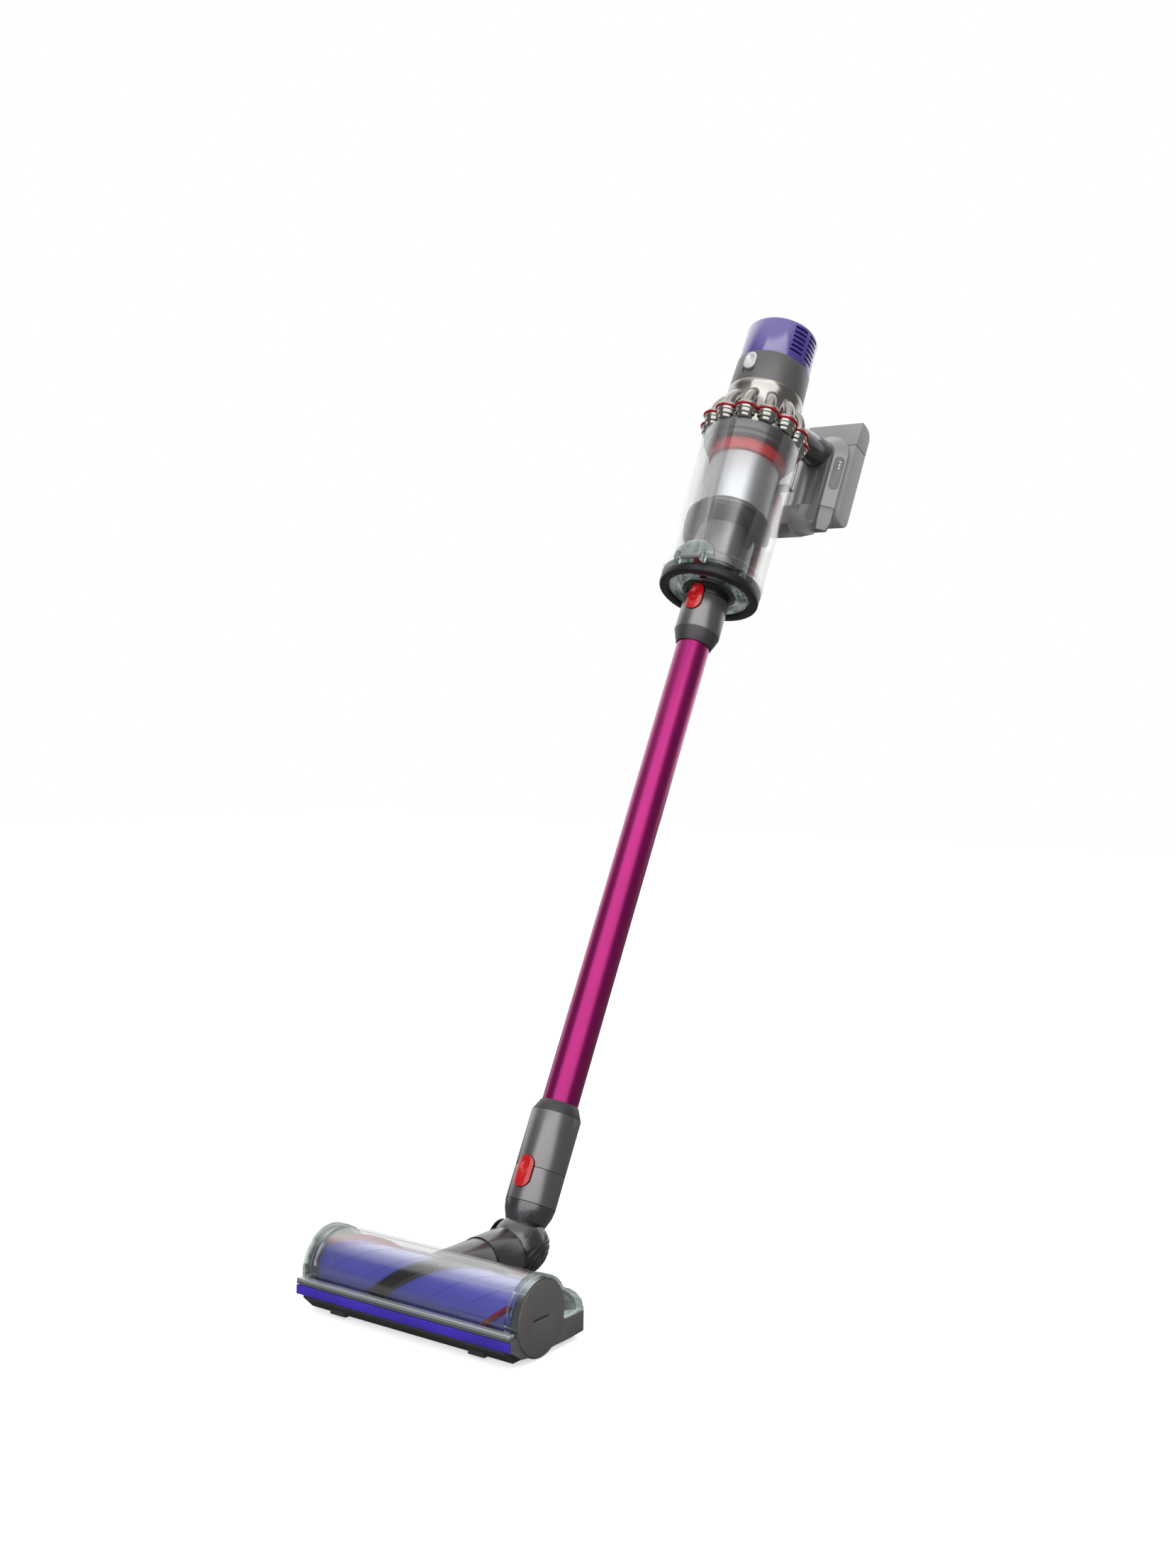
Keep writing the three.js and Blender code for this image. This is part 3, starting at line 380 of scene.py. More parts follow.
# ---- Clear bin ----------------------------------------------------------------------------------
# A moulded polycarbonate cylinder with a thicker lip at its foot. It has a faint green-grey cast
# that darkens where the wall is seen edge on.
def clear_moulding(name, tint=(0.985, 0.99, 0.99), edge=(0.8, 0.84, 0.84), gloss=0.4, sheen=0.05):
    """See-through plastic: a tint, a darker tint for walls seen edge on, and a glossy skin."""
    material = bpy.data.materials.new(name)
    material.use_nodes = True
    tree = material.node_tree
    tree.nodes.remove(tree.nodes["Principled BSDF"])
    out = tree.nodes["Material Output"]
    place = Wire(tree, tree.nodes.new("ShaderNodeTexCoord").outputs["Object"])
    facing = place.node("ShaderNodeLayerWeight", {}, {"Blend": 0.35}, "Facing")
    clear = place.node("ShaderNodeBsdfTransparent", {}, {"Color": (*tint, 1)})
    dark = place.node("ShaderNodeBsdfTransparent", {}, {"Color": (*edge, 1)})
    wall = place.node("ShaderNodeMixShader", {}, {0: facing.above(0.9, 0.08), 1: clear, 2: dark})
    smear = place.node("ShaderNodeTexNoise", {}, {"Vector": place, "Scale": 60.0, "Detail": 3.0})
    shine = place.node("ShaderNodeBsdfGlossy", {}, {"Color": (1, 1, 1, 1), "Roughness": 0.02 + smear * 0.03})
    fresnel = place.node("ShaderNodeFresnel", {}, {"IOR": 1.5})
    body = place.node("ShaderNodeMixShader", {}, {0: fresnel * gloss + sheen, 1: wall, 2: shine})
    tree.links.new(body.socket, out.inputs["Surface"])
    return material


clear = clear_moulding("clear_polycarbonate")
clear_rim = clear_moulding("thick_clear_rim", (0.8, 0.85, 0.84), (0.3, 0.34, 0.34), 0.7)
bin_radius, bin_bore, bin_bottom, bin_top = 58.5, 56.5, 690.4, 879.0
cylinder = turned([[bin_bore, bin_bottom], [59.5, bin_bottom], [59.5, 699.4], [bin_radius, 701],
                   [bin_radius, bin_top], [bin_bore, bin_top]], 160, 0.4)
put("bin_shell_clear", cylinder, machine_place, "main_body", clear, ["bin_shell"])


# ---- Bin door and its seal ----------------------------------------------------------------------
# A clear disc with stepped rings that hangs on a hinge in front, and a fat black rubber seal.
door_profile = [[31.2, 676.4], [33, 676.4], [33, 681], [38, 681], [38, 678], [40, 678], [40, 683],
                [45, 683], [45, 676.4], [46.5, 676.4], [46.5, 686.4], [58.5, 686.4], [58.5, 690.05],
                [31.2, 690.05]]
put("bin_door_clear", turned(door_profile, 128, 0.35), machine_place, "main_body", clear_rim,
    ["bin_door"])
rubber = finish("black_rubber", (0.012, 0.012, 0.013), 0.42, grain=0.05, bump=0.1, grain_size=0.0008)
seal = turned([[47.6, 673], [58.2, 673], [58.2, 684], [47.6, 684]], 128, 3)
put("door_seal_ring", seal, machine_place, "main_body", rubber, ["door_seal"])


# ---- Inlet nozzle and inner duct ----------------------------------------------------------------
# Dark gloss mouldings on the wand's axis: the nozzle takes the wand, the duct carries the air up.
dark_gloss = finish("dark_gloss_grey", (0.05, 0.048, 0.05), 0.2, metallic=0.7, coat=0.4, grain=0.03)
nozzle = turned([[spigot_bore, 645.7], [spigot, 645.7], [spigot, 665.5], [26.3, 665.5], [26.3, 674.7],
                 [30.8, 676], [30.8, 690], [spigot_bore, 690]], 128, 0.3)
put("nozzle", carve(nozzle, button_pocket(upper_button)), machine_place, "main_body", dark_gloss,
    ["inlet_nozzle"])
duct_grey = finish("duct_grey", (0.16, 0.155, 0.15), 0.2, metallic=0.6, coat=0.4, grain=0.03)
duct_radius, duct_bore = 35.5, 33
duct = turned([[spigot_bore, bin_bottom], [duct_radius, bin_bottom], [duct_radius, 754.4],
               [duct_bore, 754.4], [duct_bore, bin_bottom + 3], [spigot_bore, bin_bottom + 3]], 128)
put("duct", duct, machine_place, "main_body", duct_grey, ["inner_duct"])


# ---- Shroud -------------------------------------------------------------------------------------
# A fine perforated steel screen between a flared black skirt and a dark flange with a red seal.
base, screen_bore = 754.75, 38.5
skirt = turned([[duct_bore, base], [duct_radius, base], [42, base + 4], [50, base + 12], [50, base + 18],
                [duct_bore, base + 18]], 128, 1.2)
put("skirt", skirt, machine_place, "main_body", rubber, ["shroud_skirt"])
wings = turned([[46.5, 738], [49, 738], [50, 760], [50, 772], [48, 772], [48, 760]], 128, 0.5)
reach = bmesh.new()
bmesh.ops.create_cone(reach, segments=64, radius1=33, radius2=33, depth=120, cap_ends=True,
                      matrix=Matrix.Translation((0, 0, 775)) @ Matrix.Rotation(pi / 2, 4, "Y"))
put("skirt_wings", carve(wings, reach, "INTERSECT"), machine_place, "main_body", rubber)
step = turned([[duct_bore, base + 18.35], [44, base + 18.35], [44, base + 21], [42.6, base + 22],
               [42.6, base + 24], [43.6, base + 25], [42, base + 27.85], [duct_bore, base + 27.85]], 128, 0.3)
put("shroud_step", step, machine_place, "main_body", duct_grey, ["shroud_ring"])
screen_steel = finish("perforated_steel", (0.66, 0.665, 0.69), 0.36, metallic=0.9, grain=0.08,
                      grain_size=0.0007, bump=0.5)
screen = turned([[screen_bore, base + 28.2], [41, base + 28.2], [41, base + 92.7],
                 [screen_bore, base + 92.7]], 128)
put("screen", screen, machine_place, "main_body", screen_steel, ["shroud_mesh"])
red_rubber = finish("red_rubber", (0.62, 0.012, 0.02), 0.4, grain=0.05)
red_seal = turned([[screen_bore, base + 93.05], [43.5, base + 93.05], [45, base + 96], [45, base + 106.55],
                   [screen_bore, base + 106.55]], 128, 0.5)
put("shroud_red_seal", red_seal, machine_place, "main_body", red_rubber, ["shroud_seal"])
flange_grey = finish("flange_grey", (0.075, 0.073, 0.075), 0.28, metallic=0.4, coat=0.3)
flange = turned([[screen_bore, base + 106.9], [46, base + 106.9], [52, base + 108], [53, base + 112],
                 [56.1, base + 114], [56.1, base + 124.2], [screen_bore, base + 124.2]], 128, 0.6)
put("flange", flange, machine_place, "main_body", flange_grey, ["shroud_flange"])


# ---- Cyclone ring -------------------------------------------------------------------------------
# Polished nickel-plated mouldings: stepped cups below and domed caps above, clamped on a wavy red
# gasket. From each cap a bent duct runs up into the hub.
nickel = finish("polished_nickel", (0.47, 0.45, 0.425), 0.17, metallic=1.0, grain=0.03,
                grain_size=0.0005, bump=0.03)
cyclone_count, cyclone_ring, first_cyclone = 13, 52.0, radians(-12)
cyclone_radius, hub_bore = 13.2, 38.6


def ring_of(bm, count=cyclone_count):
    """Repeats a shape made at the front (-Y) all the way round Z."""
    bmesh.ops.rotate(bm, verts=bm.verts, cent=(0, 0, 0), matrix=Matrix.Rotation(first_cyclone, 3, "Z"))
    bmesh.ops.spin(bm, geom=list(bm.verts) + list(bm.edges) + list(bm.faces), cent=(0, 0, 0), axis=(0, 0, 1),
                   dvec=(0, 0, 0), angle=2 * pi * (count - 1) / count, steps=count - 1, use_duplicate=True)
    return bm


def add(bm, other):
    """Adds a second shape to the first, as separate closed solids of one moulding."""
    mesh = bpy.data.meshes.new("part")
    other.to_mesh(mesh)
    other.free()
    bm.from_mesh(mesh)
    bpy.data.meshes.remove(mesh)
    return bm


cup = turned([[0, 880.4], [6.4, 880.4], [8.4, 881.6], [9.2, 884.6], [11.2, 885.6], [11.7, 889.4],
              [12.9, 890.4], [cyclone_radius, 893.6], [0, 893.6]], 40, 0.45)
bmesh.ops.translate(cup, verts=cup.verts, vec=(0, -cyclone_ring, 0))
cup_hub = turned([[hub_bore, 880.4], [50, 880.4], [53, 886], [54, 893.6], [hub_bore, 893.6]], 128)
cups = add(ring_of(cup), cup_hub)
put("cups", cups, machine_place, "main_body", nickel, ["cyclone_cups"])

washer = turned([[0, 894.05], [14.9, 894.05], [14.9, 895.55], [0, 895.55]], 40, 0.4)
bmesh.ops.translate(washer, verts=washer.verts, vec=(0, -cyclone_ring, 0))
gasket_ring = turned([[hub_bore, 894.1], [53, 894.1], [53, 895.5], [hub_bore, 895.5]], 96)
gasket = add(ring_of(washer), gasket_ring)
put("gasket", gasket, machine_place, "main_body", red_rubber, ["cyclone_gasket"])

cap = turned([[0, 895.95], [cyclone_radius, 895.95], [cyclone_radius, 897.6], [12.2, 900], [9.5, 901.9],
              [5, 903], [0, 903.4]], 40, 0.6)
bmesh.ops.translate(cap, verts=cap.verts, vec=(0, -cyclone_ring, 0))
bend = bmesh.new()
bend_radius, bend_foot, bend_centre, bend_turn = 6.7, (0, -54.5, 899), (0, -22, 899), radians(72)
bmesh.ops.create_circle(bend, segments=24, radius=bend_radius, matrix=Matrix.Translation(bend_foot))
bmesh.ops.spin(bend, geom=list(bend.verts) + list(bend.edges), cent=bend_centre, axis=(1, 0, 0),
               dvec=(0, 0, 0), angle=-bend_turn, steps=14)
bmesh.ops.holes_fill(bend, edges=[edge for edge in bend.edges if edge.is_boundary], sides=0)
bmesh.ops.recalc_face_normals(bend, faces=bend.faces)
caps = ring_of(add(cap, bend))
cap_hub = turned([[hub_bore, 895.95], [50, 895.95], [50, 898.5], [46.6, 901], [44.8, 906], [45.3, 936],
                  [46, 938], [46, 944.7], [hub_bore, 944.7]], 128, 0.4)
put("caps", add(caps, cap_hub), machine_place, "main_body", nickel, ["cyclone_caps"])


# ---- Motor housing and mode slider --------------------------------------------------------------
# A satin grey sleeve round the motor. The silver slider stands in a racetrack recess in front.
housing_grey = finish("housing_grey", (0.155, 0.148, 0.15), 0.38, metallic=0.35, coat=0.1,
                      grain_size=0.0003)
sleeve_bore = 40.5
sleeve = turned([[sleeve_bore, 945.2], [45.5, 945.2], [44.6, 984.4], [sleeve_bore, 984.4]], 160, 0.3)
slider_x, slider_z, slider_width, slider_height, slider_travel = -4.8, 970.3, 15.6, 23.4, 8.0
recess = racetrack_block(slider_width + 1.2, slider_height + slider_travel + 1.2, -60, -41.9, slider_x,
                         slider_z - slider_travel / 2)
put("motor_sleeve", carve(sleeve, recess), machine_place, "main_body", housing_grey,
    ["motor_housing"])
silver = finish("silver_white", (0.78, 0.78, 0.79), 0.3, metallic=0.3, coat=0.3)
knob = racetrack_block(slider_width, slider_height, -46.2, -42.3, slider_x, slider_z)
dimple = bmesh.new()
bmesh.ops.create_uvsphere(dimple, u_segments=32, v_segments=20, radius=9)
bmesh.ops.translate(dimple, verts=dimple.verts, vec=(slider_x, -53.9, slider_z + 2.5))
knob = carve(knob, dimple)
bmesh.ops.remove_doubles(knob, verts=knob.verts, dist=0.01)
soften_edges(knob, 0.8, 40)
put("slider", knob, machine_place, "mode_button", silver, ["mode_slider"])
frame["nodes"]["motor"].data.materials[0] = dark_gloss
frame["nodes"]["impeller"].data.materials[0] = silver


# ---- Filter cap ---------------------------------------------------------------------------------
# A purple cap that twists on. Two columns of slots on its right side let the air out, over a
# perforated screen round the filter.
purple = finish("satin_purple", (0.075, 0.038, 0.34), 0.34, coat=1.0, grain=0.03, coat_roughness=0.1,
                coat_ior=2.1)
cap_bore, cap_radius = 40.5, 43.5
shell = turned([[0, 1033], [36.5, 1032], [cap_bore, 1029.5], [cap_bore, 984.9], [cap_radius, 984.9],
                [cap_radius, 1031.5], [42.4, 1034.2], [39, 1035.8], [0, 1036.4]], 160, 0.5)
slot_width, slot_length, slot_rows, slot_pitch, lowest_slot = 3.0, 18.0, 6, 6.4, 995.5
lay_flat = Matrix.Rotation(pi / 2, 3, "Y")
slots = bmesh.new()
for bearing in (62, 92):
    to_side = Matrix.Rotation(radians(bearing), 3, "Z")
    for row in range(slot_rows):
        slot = racetrack_block(slot_width, slot_length, -50, -37)
        bmesh.ops.rotate(slot, verts=slot.verts, cent=(0, 0, 0), matrix=lay_flat)
        bmesh.ops.translate(slot, verts=slot.verts, vec=(0, 0, lowest_slot + slot_pitch * row))
        bmesh.ops.rotate(slot, verts=slot.verts, cent=(0, 0, 0), matrix=to_side)
        slots = add(slots, slot)
put("filter_cap_purple", carve(shell, slots), machine_place, "filter_unit", purple,
    ["filter_cap"])
screen_dark = finish("filter_screen", (0.1, 0.1, 0.11), 0.4, metallic=0.8, grain_size=0.0008, bump=0.6)
pleats = turned([[24, 988.6], [38.4, 988.6], [38.4, 1028.4], [24, 1028.4]], 96)
put("filter_screen", pleats, machine_place, "filter_unit", screen_dark, ["filter_element"])


# ---- Grip and trigger ---------------------------------------------------------------------------
# A glossy dark tube that rises from the motor to the band. The red trigger slides up into it.
grip_rise, grip_radius = radians(19), 19
grip_place = Matrix.Translation((0, 57, 938)) @ Matrix.Rotation(grip_rise, 4, "X")
bar = turned([[0, -10], [grip_radius, -10], [grip_radius, 100], [0, 100]], 128, 0.8)
bmesh.ops.transform(bar, matrix=grip_place @ Matrix.Rotation(-pi / 2, 4, "X"), verts=bar.verts)


def block(x0, x1, y0, y1, z0, z1):
    """A plain block between limits, to be cut, softened or used as a cutter."""
    bm = bmesh.new()
    bmesh.ops.create_cube(bm, size=1)
    bmesh.ops.scale(bm, verts=bm.verts, vec=(x1 - x0, y1 - y0, z1 - z0))
    bmesh.ops.translate(bm, verts=bm.verts, vec=((x0 + x1) / 2, (y0 + y1) / 2, (z0 + z1) / 2))
    return bm


grip_gloss = finish("grip_gloss", (0.045, 0.04, 0.044), 0.16, metallic=0.5, coat=0.5, grain=0.02)
trigger_space = block(-7.6, 7.6, 65.4, 82.6, 900, 942)
put("grip_bar", carve(bar, trigger_space), machine_place, "main_body", grip_gloss, ["grip"])
trigger = block(-7, 7, 66, 82, 912, 935)
soften_edges(trigger, 2.2, 40, 5)
put("trigger_red", trigger, machine_place, "trigger_body", red_gloss, ["trigger"])


# ---- Handle slab: casing and battery ------------------------------------------------------------
# Satin grey mouldings with rounded edges. The battery closes the lower part of the slab, and a
# sloping seam shows where it meets the casing.
battery_grey = finish("battery_grey", (0.4, 0.385, 0.385), 0.42, metallic=0.1, coat=0.15,
                      grain_size=0.0003)


def lofted(loops):
    """A solid between outlines that have the same number of points."""
    bm = bmesh.new()
    rings = []
    for loop in loops:
        verts = [bm.verts.new(point) for point in loop]
        rings.append([bm.edges.new(pair) for pair in zip(verts, verts[1:] + verts[:1])])
        if loop in (loops[0], loops[-1]):
            bm.faces.new(verts)
    for low, high in zip(rings, rings[1:]):
        bmesh.ops.bridge_loops(bm, edges=low + high)
    bmesh.ops.recalc_face_normals(bm, faces=bm.faces)
    return bm


def slab(points, half, rounding):
    """A side outline in Y and Z, made as wide as the handle, with rounded edges."""
    bm = lofted([[(side * half, y, z) for y, z in points] for side in (-1, 1)])
    soften_edges(bm, rounding, 30, 4)
    return bm


def corner(y, z, radius, start, steps=10):
    """A quarter round in Y and Z, from a bearing in degrees."""
    bearings = [radians(start + 90 * i / steps) for i in range(steps + 1)]
    return [(y + radius * cos(bearing), z + radius * sin(bearing)) for bearing in bearings]


slab_half, slab_front, slab_back, seam = 39.0, 163.0, 193.0, 991.0
slab_bottom, big_corner, top_corner = 880, 14, 13
top = [(slab_front, seam + 0.35), (slab_back, seam + 2.5),
       *corner(slab_back - top_corner, 1015, top_corner, 0), (slab_front + 4, 1028)]
put("slab_top", slab(top, slab_half, 1.3), machine_place, "main_body", battery_grey,
    ["handle_casing"])
pack = [(slab_back, seam + 2.1), (slab_front, seam),
        *corner(slab_front + big_corner, slab_bottom + big_corner, big_corner, 180),
        *corner(slab_back - big_corner, slab_bottom + big_corner, big_corner, 270)]
put("battery", slab(pack, slab_half, 1.3), machine_place, "main_body", battery_grey,
    ["battery_pack"])


# ---- Band, saddle and status windows ------------------------------------------------------------
# An arched band with slanted sides joins the slab to a hollowed saddle. A smoked window with three
# charge lights lies flush in each slanted side.
casing_grey = finish("casing_grey", (0.36, 0.352, 0.352), 0.36, metallic=0.25, coat=0.3,
                     grain_size=0.0003)
saddle_grey = finish("saddle_grey", (0.25, 0.245, 0.247), 0.36, metallic=0.5, coat=0.2,
                     grain_size=0.0003)


def arched(half, low, spring, y, steps=28):
    """An outline in X and Z: straight sides up to the spring of a half-round arch."""
    top = [(half * cos(pi * i / steps), y, spring + half * sin(pi * i / steps)) for i in range(steps + 1)]
    return [(half, y, low), *top, (-half, y, low)]


band_half, nose_half, band_low, spring = 34.5, 19.5, 893.35, 970.5
band_root, band_shoulder, band_nose = 162.8, 159.5, 149.5
band = lofted([arched(band_half, band_low, spring, 163), arched(band_half, band_low, spring, band_shoulder),
               arched(nose_half, band_low, spring, band_nose)])
soften_edges(band, 0.9, 25, 4)
put("band", band, machine_place, "main_body", casing_grey)
section = [(band_half, band_root), (band_half, band_shoulder), (nose_half, band_nose)]
section += [(-x, y) for x, y in reversed(section)]
foot = lofted([[(x * wide, band_root - (band_root - y) * wide, z) for x, y in section]
               for z, wide in ((893.0, 1.0), (873, 1.0), (861, 0.86))])
soften_edges(foot, 1.0, 25, 4)
put("band_foot", foot, machine_place, "main_body", saddle_grey)
spine = lofted([arched(19.3, 862, 968, 150), arched(19.3, 862, 968, 145), arched(17.3, 862, 968, 142.5)])
dish = bmesh.new()
bmesh.ops.create_uvsphere(dish, u_segments=64, v_segments=40, radius=1)
bmesh.ops.scale(dish, verts=dish.verts, vec=(15.5, 16, 72))
bmesh.ops.translate(dish, verts=dish.verts, vec=(0, 132, 905))
put("saddle", carve(spine, dish), machine_place, "main_body", saddle_grey)
window = finish("smoked_window", (0.2, 0.196, 0.196), 0.3, coat=0.5)
light = finish("charge_light", (0.85, 0.85, 0.85), 0.3, grain=0.02)
window_x, window_y, window_z, window_width, window_height = 27.2, 154.6, 943.5, 13, 49
for side, name in ((-1, "left"), (1, "right")):
    across = Vector((16 * side, 10, 0)).normalized()
    out = Vector((10 * side, -16, 0)).normalized()
    face = Matrix((across, -out, Vector((0, 0, 1)))).transposed().to_4x4()
    place = machine_place @ Matrix.Translation((window_x * side, window_y, window_z)) @ face
    plate = racetrack_block(window_width, window_height, -0.25, 1.5)
    soften_edges(plate, 0.24, 40, 2)
    if side < 0:
        bmesh.ops.reverse_faces(plate, faces=plate.faces)
    put(f"window_{name}", plate, place, "main_body", window, [f"status_window_{name}"])
    dots = bmesh.new()
    for height in (7.5, 12.0, 16.5):
        dots = add(dots, racetrack_block(2.6, 3.0, -0.34, 0.2, 1.0, height))
    if side < 0:
        bmesh.ops.reverse_faces(dots, faces=dots.faces)
    put(f"charge_lights_{name}", dots, place, "main_body", light)


# ---- Strut, bin lever and runner ----------------------------------------------------------------
# A grey strut joins the handle's foot to the bin. Its front end is open round the big red lever
# that pushes the bin down, which slides on a dark runner behind the bin.
def node_shape(node):
    """The CAD node's shape as a bmesh, with its flat faces made whole."""
    bm = bmesh.new()
    bm.from_mesh(frame["nodes"][node].data)
    bmesh.ops.remove_doubles(bm, verts=bm.verts, dist=1e-6)
    bmesh.ops.dissolve_limit(bm, angle_limit=radians(1.5), verts=bm.verts, edges=bm.edges)
    return bm


def softened(node, name, body, material, width=0.6, sharp=28, segments=3):
    """The CAD node's own shape with every sharp edge rounded."""
    bm = node_shape(node)
    soften_edges(bm, width / 1000, sharp, segments)
    return put(name, bm, Matrix.Identity(4), body, material, [node])


arm = node_shape("strut")
bmesh.ops.transform(arm, matrix=machine_place.inverted(), verts=arm.verts)
lever_space = block(-60, 60, 50, 87, 776, 868)
arm = carve(arm, lever_space)
soften_edges(arm, 2.2)
put("strut_arm", arm, machine_place, "main_body", saddle_grey, ["strut"])
softened("charging_socket", "charging_port", "main_body", rubber, 0.3)
lever = block(-11, 11, 66, 83, 800, 861)
soften_edges(lever, 6, 40, 8)
put("bin_lever_red", lever, machine_place, "bin_lever", red_gloss, ["release_lever"])
softened("bin_runner", "runner", "main_body", dark_gloss, 0.8)


# ---- Door hinge and catch -----------------------------------------------------------------------
# A steel roller between two clear brackets, under a clear domed fairing moulded on the bin's front.
# Red parts of the catch and its push rod show through the door and the bin.
softened("door_hinge", "hinge_roller", "main_body", casing_grey, 0.3)
fairing = bmesh.new()
bmesh.ops.create_uvsphere(fairing, u_segments=64, v_segments=40, radius=1)
bmesh.ops.scale(fairing, verts=fairing.verts, vec=(27, 9, 21))
bmesh.ops.translate(fairing, verts=fairing.verts, vec=(7, -57, 692))
fairing = carve(fairing, block(-60, 60, -90, 0, 691, 740), "INTERSECT")
put("hinge_fairing", carve(fairing, turned([[0, 600], [60, 600], [60, 760], [0, 760]], 96, 0)), machine_place,
    "main_body", clear_rim)
brackets = block(-12, -7, -67.5, -58, 680, 694)
brackets = add(brackets, block(21, 26, -67.5, -58, 680, 694))
soften_edges(brackets, 1.5, 40, 3)
put("hinge_brackets", brackets, machine_place, "main_body", clear_rim)
catch = block(-1, 13, -45, -42, 679, 690)
soften_edges(catch, 0.5, 40)
put("door_catch_red", catch, machine_place, "main_body", red_gloss)
pusher = block(12, 18, 50, 53, 702, 770)
soften_edges(pusher, 0.5, 40)
put("door_pusher_red", pusher, machine_place, "main_body", red_gloss)


# ---- Stem, elbow and neck -----------------------------------------------------------------------
# The stem's cone ends in a barrel that turns inside two shells: a smooth hood in front and a ribbed
# one behind, with nested folds. The collar below them turns on the neck tube.
elbow_place = Matrix.Translation(elbow_axis) @ mm
stem_grey = finish("stem_grey", (0.15, 0.142, 0.15), 0.27, metallic=0.85, coat=0.4, grain_size=0.0003)


def ball_points(radius, steps=28):
    """A half circle from pole to pole, to be turned into a ball."""
    return [[radius * cos(radians(-90 + 180 * i / steps)), radius * sin(radians(-90 + 180 * i / steps))]
            for i in range(steps + 1)]


barrel = turned(ball_points(27.4), 96, 0)
barrel = carve(barrel, block(-22.3, 22.3, -40, 40, -40, 40), "INTERSECT")
bmesh.ops.translate(barrel, verts=barrel.verts, vec=(0, -2.5, -74.4))
cone = turned([[0, -58], [18.5, -58], [21.8, -50], [24.5, -43], [26, -34.8], [0, -34.8]], 128, 0.3)
put("stem_cone", add(cone, barrel), machine_place, "main_body", stem_grey, ["stem"])

softened("elbow_hood", "hood", "elbow", stem_grey, 0.5, 40)
rib_black = finish("rib_black", (0.045, 0.043, 0.046), 0.3, metallic=0.4, coat=0.7)
softened("elbow_ribs", "ribs", "elbow", rib_black, 0.4, 40)
fold_outer, fold_inner, fold_reach, fold_lip = 31.9, 29.5, 4.5, 2
folds = bmesh.new()
for side in (-1, 1):
    pole = Vector((0.758 * side, 0.227, -0.6)).normalized()
    turn_to = Vector((0, 0, 1)).rotation_difference(pole).to_matrix().to_4x4()
    for angle in (13, 25, 37, 49, 61):
        fold = turned([[radius * sin(radians(angle + a)), radius * cos(radians(angle + a))]
                       for radius, a in [(fold_outer, -fold_reach), (fold_outer, -fold_lip),
                                         (fold_outer, fold_lip), (fold_outer, fold_reach),
                                         (fold_inner, fold_reach), (fold_inner, -fold_reach)]], 72, 0.7, 20)
        bmesh.ops.transform(fold, matrix=turn_to, verts=fold.verts)
        shown = block(3, 60, -19, 60, -60, 6) if side > 0 else block(-60, -3, -19, 60, -60, 6)
        folds = add(folds, carve(fold, shown, "INTERSECT"))
put("elbow_folds", folds, elbow_place, "elbow", rib_black)
neck_axis = Vector(joints["neck_twist"]["pos_m"])
neck_place = Matrix.Translation(neck_axis) @ Matrix.Rotation(-pi / 2, 4, "X") @ mm
neck_bore, neck_radius = 20.5, 24
neck = turned([[neck_bore, -53], [neck_radius, -53], [neck_radius, -0.4], [neck_bore, -0.4]], 128)
put("neck", neck, neck_place, "cleaner_head", stem_grey, ["neck_tube"])
softened("neck_collar", "collar", "elbow", stem_grey, 0.4, 40)


# ---- Brush roller -------------------------------------------------------------------------------
# A glossy blue-violet tube with thin helical ribs. One wide strip of black filaments and one narrow
# strip of red ones wind round it, nine tenths of a turn from end to end.
roller_place = Matrix.Translation(roller_axis) @ Matrix.Rotation(pi / 2, 4, "Y") @ mm
left_end, right_end = -113.0, 111.0
winding = radians(1.45)
violet = finish("roller_violet", (0.085, 0.09, 0.6), 0.25, coat=1.0, grain=0.03, coat_roughness=0.07,
                coat_ior=1.9)
core_bore, core_radius = 24, 27.5
core = turned([[0, 26], [core_bore, 26], [core_bore, -115], [core_radius, -115], [core_radius, 113],
               [core_bore, 113], [core_bore, 31], [0, 31]], 128)
put("roller_core", core, roller_place, "brush_roller", violet, ["brush_core"])


def wound(bm, reach, crossing, copies=None):
    """Winds a section, made in X and Z at the roller's left end, along it, to cross the front at an X."""
    start = -pi / 2 + (crossing - left_end) * winding
    steps = copies or 120
    bmesh.ops.rotate(bm, verts=bm.verts, cent=(0, 0, 0), matrix=Matrix.Rotation(start, 3, "Z"))
    bmesh.ops.spin(bm, geom=list(bm.verts) + list(bm.edges) + list(bm.faces), cent=(0, 0, 0), axis=(0, 0, 1),
                   dvec=(0, 0, reach / steps), angle=-winding * reach, steps=steps,
                   use_duplicate=copies is not None)
    return bm


def face_outward(bm):
    """Turns the faces of a closed, wound shape outward, by the sign of its volume."""
    bmesh.ops.recalc_face_normals(bm, faces=bm.faces)
    if bm.calc_volume(signed=True) < 0:
        bmesh.ops.reverse_faces(bm, faces=bm.faces)


def strip(inner, outer, width, crossing):
    """A flat strip of a section's width, wound and trimmed square at both ends of the roller."""
    bm = bmesh.new()
    corners = [(inner, -width / 2), (outer, -width / 2), (outer, width / 2), (inner, width / 2)]
    verts = [bm.verts.new((x, 0, z + left_end)) for x, z in corners]
    for first, second in zip(verts, verts[1:] + verts[:1]):
        bm.edges.new((first, second))
    bm = wound(bm, right_end - left_end, crossing)
    for limit, side in ((left_end, -1), (right_end, 1)):
        bmesh.ops.bisect_plane(bm, geom=list(bm.verts) + list(bm.edges) + list(bm.faces),
                               plane_co=(0, 0, limit), plane_no=(0, 0, side), clear_outer=True)
    bmesh.ops.holes_fill(bm, edges=[e for e in bm.edges if e.is_boundary], sides=0)
    face_outward(bm)
    return bm


